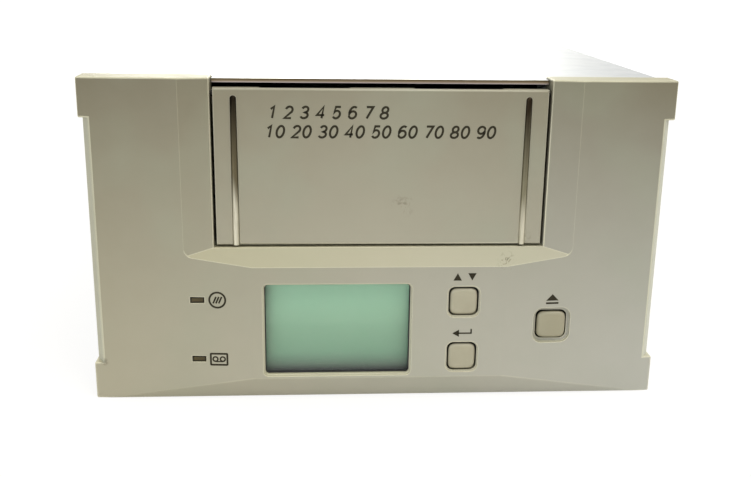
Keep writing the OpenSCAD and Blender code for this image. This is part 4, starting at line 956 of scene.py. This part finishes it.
digits = {
    "0": [arc(0.31, 0.5, 0.31, 0.5, 0, 342)],
    "1": [joined([(0.1, 0.78), (0.36, 1), (0.36, 0)])],
    "2": [joined(arc(0.31, 0.71, 0.29, 0.29, 165, -35), [(0.02, 0), (0.6, 0)])],
    "3": [joined(arc(0.3, 0.75, 0.26, 0.25, 160, -90), arc(0.3, 0.25, 0.3, 0.25, 85, -160))],
    "4": [joined([(0.46, 0), (0.46, 1), (0, 0.28), (0.64, 0.28)])],
    "5": [joined([(0.56, 1), (0.14, 1), (0.06, 0.46)], arc(0.3, 0.33, 0.3, 0.33, 130, -150))],
    "6": [joined(arc(0.36, 0.5, 0.35, 0.5, 55, 180), arc(0.315, 0.31, 0.305, 0.31, 180, -165))],
    "7": [joined([(0.02, 1), (0.6, 1), (0.22, 0)])],
    "8": [arc(0.31, 0.75, 0.25, 0.25, 0, 342), arc(0.31, 0.25, 0.31, 0.25, 0, 342)],
}
digits["9"] = [np.array([0.63, 1]) - path for path in digits["6"]]
door_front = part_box("magazine_door")[0].y / MM - 0.02


def number_row(text, x, z):
    """Numerals 2.85 mm high as bands 0.56 mm wide: x + (u + 0.2 v) height and z + v height for
    a point (u, v) of a digit. A path whose ends nearly meet is closed, and a digit's second
    path lies 0.006 mm deeper, because two films in one plane would fight."""
    height, shapes = 2.85, []
    for sign in text:
        for layer, path in enumerate(digits.get(sign, [])):
            points = np.stack([x + (path[:, 0] + 0.2 * path[:, 1]) * height, z + path[:, 1] * height], -1)
            shapes.append(ribbon(points, 0.56, level(door_front + 0.006 * layer), FILM,
                                 closed=bool(np.linalg.norm(path[0] - path[-1]) < 0.2)))
        x += height * (0.46 if sign == " " else 0.93)
    return shapes


points, faces = gather(number_row("1 2 3 4 5 6 7 8", -28.3, 74.65)
                       + number_row("10 20 30 40 50 60 70 80 90", -29.1, 69.85))
numbers = to_object("door_numbers", points * MM, faces, ink, smooth=False)
outward(numbers)
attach(numbers, "door")
print("numbers span mm", points.min(0).round(2), points.max(0).round(2))

# %% [markdown]
# ## The lamps' lenses
# Two light pipes of smoked acrylic end flush in the face. Unlit, they are black-brown.

# %% Smoked lenses
smoked = surface("smoked_acrylic", "3E3417", "4A3F1E", 1.5, 0.22, 0.04, 0.4, 3, ior=1.49)
coat(smoked, "status_lenses")

# %% [markdown]
# ## Printed boards
# Solder mask is glossy green epoxy over copper tracks, and the tracks show as lighter
# lines. The bricks of a brick pattern, in rows of 0.96 mm, stand for the runs of tracks.

# %% Solder mask
mask = surface("solder_mask_green", "1E5B36", "1A5231", 6, 0.3, 0.05, 0.5, 4, ior=1.55)
row_mm = 25 / 26  # a row is a quarter of the pattern's unit
tracks = add(mask.node_tree, "TexBrick", {
    "Vector": part_of(mask, "TexCoord").outputs["Object"], "Scale": 250 / row_mm, "Mortar Size": 0.06,
    "Color1": linear("1E5B36"), "Color2": linear("2B7547"), "Mortar": linear("174A2B")})
over(mask, 0.6, tracks.outputs["Color"])
coat(mask, "control_board", "drive_board", "interface_board")
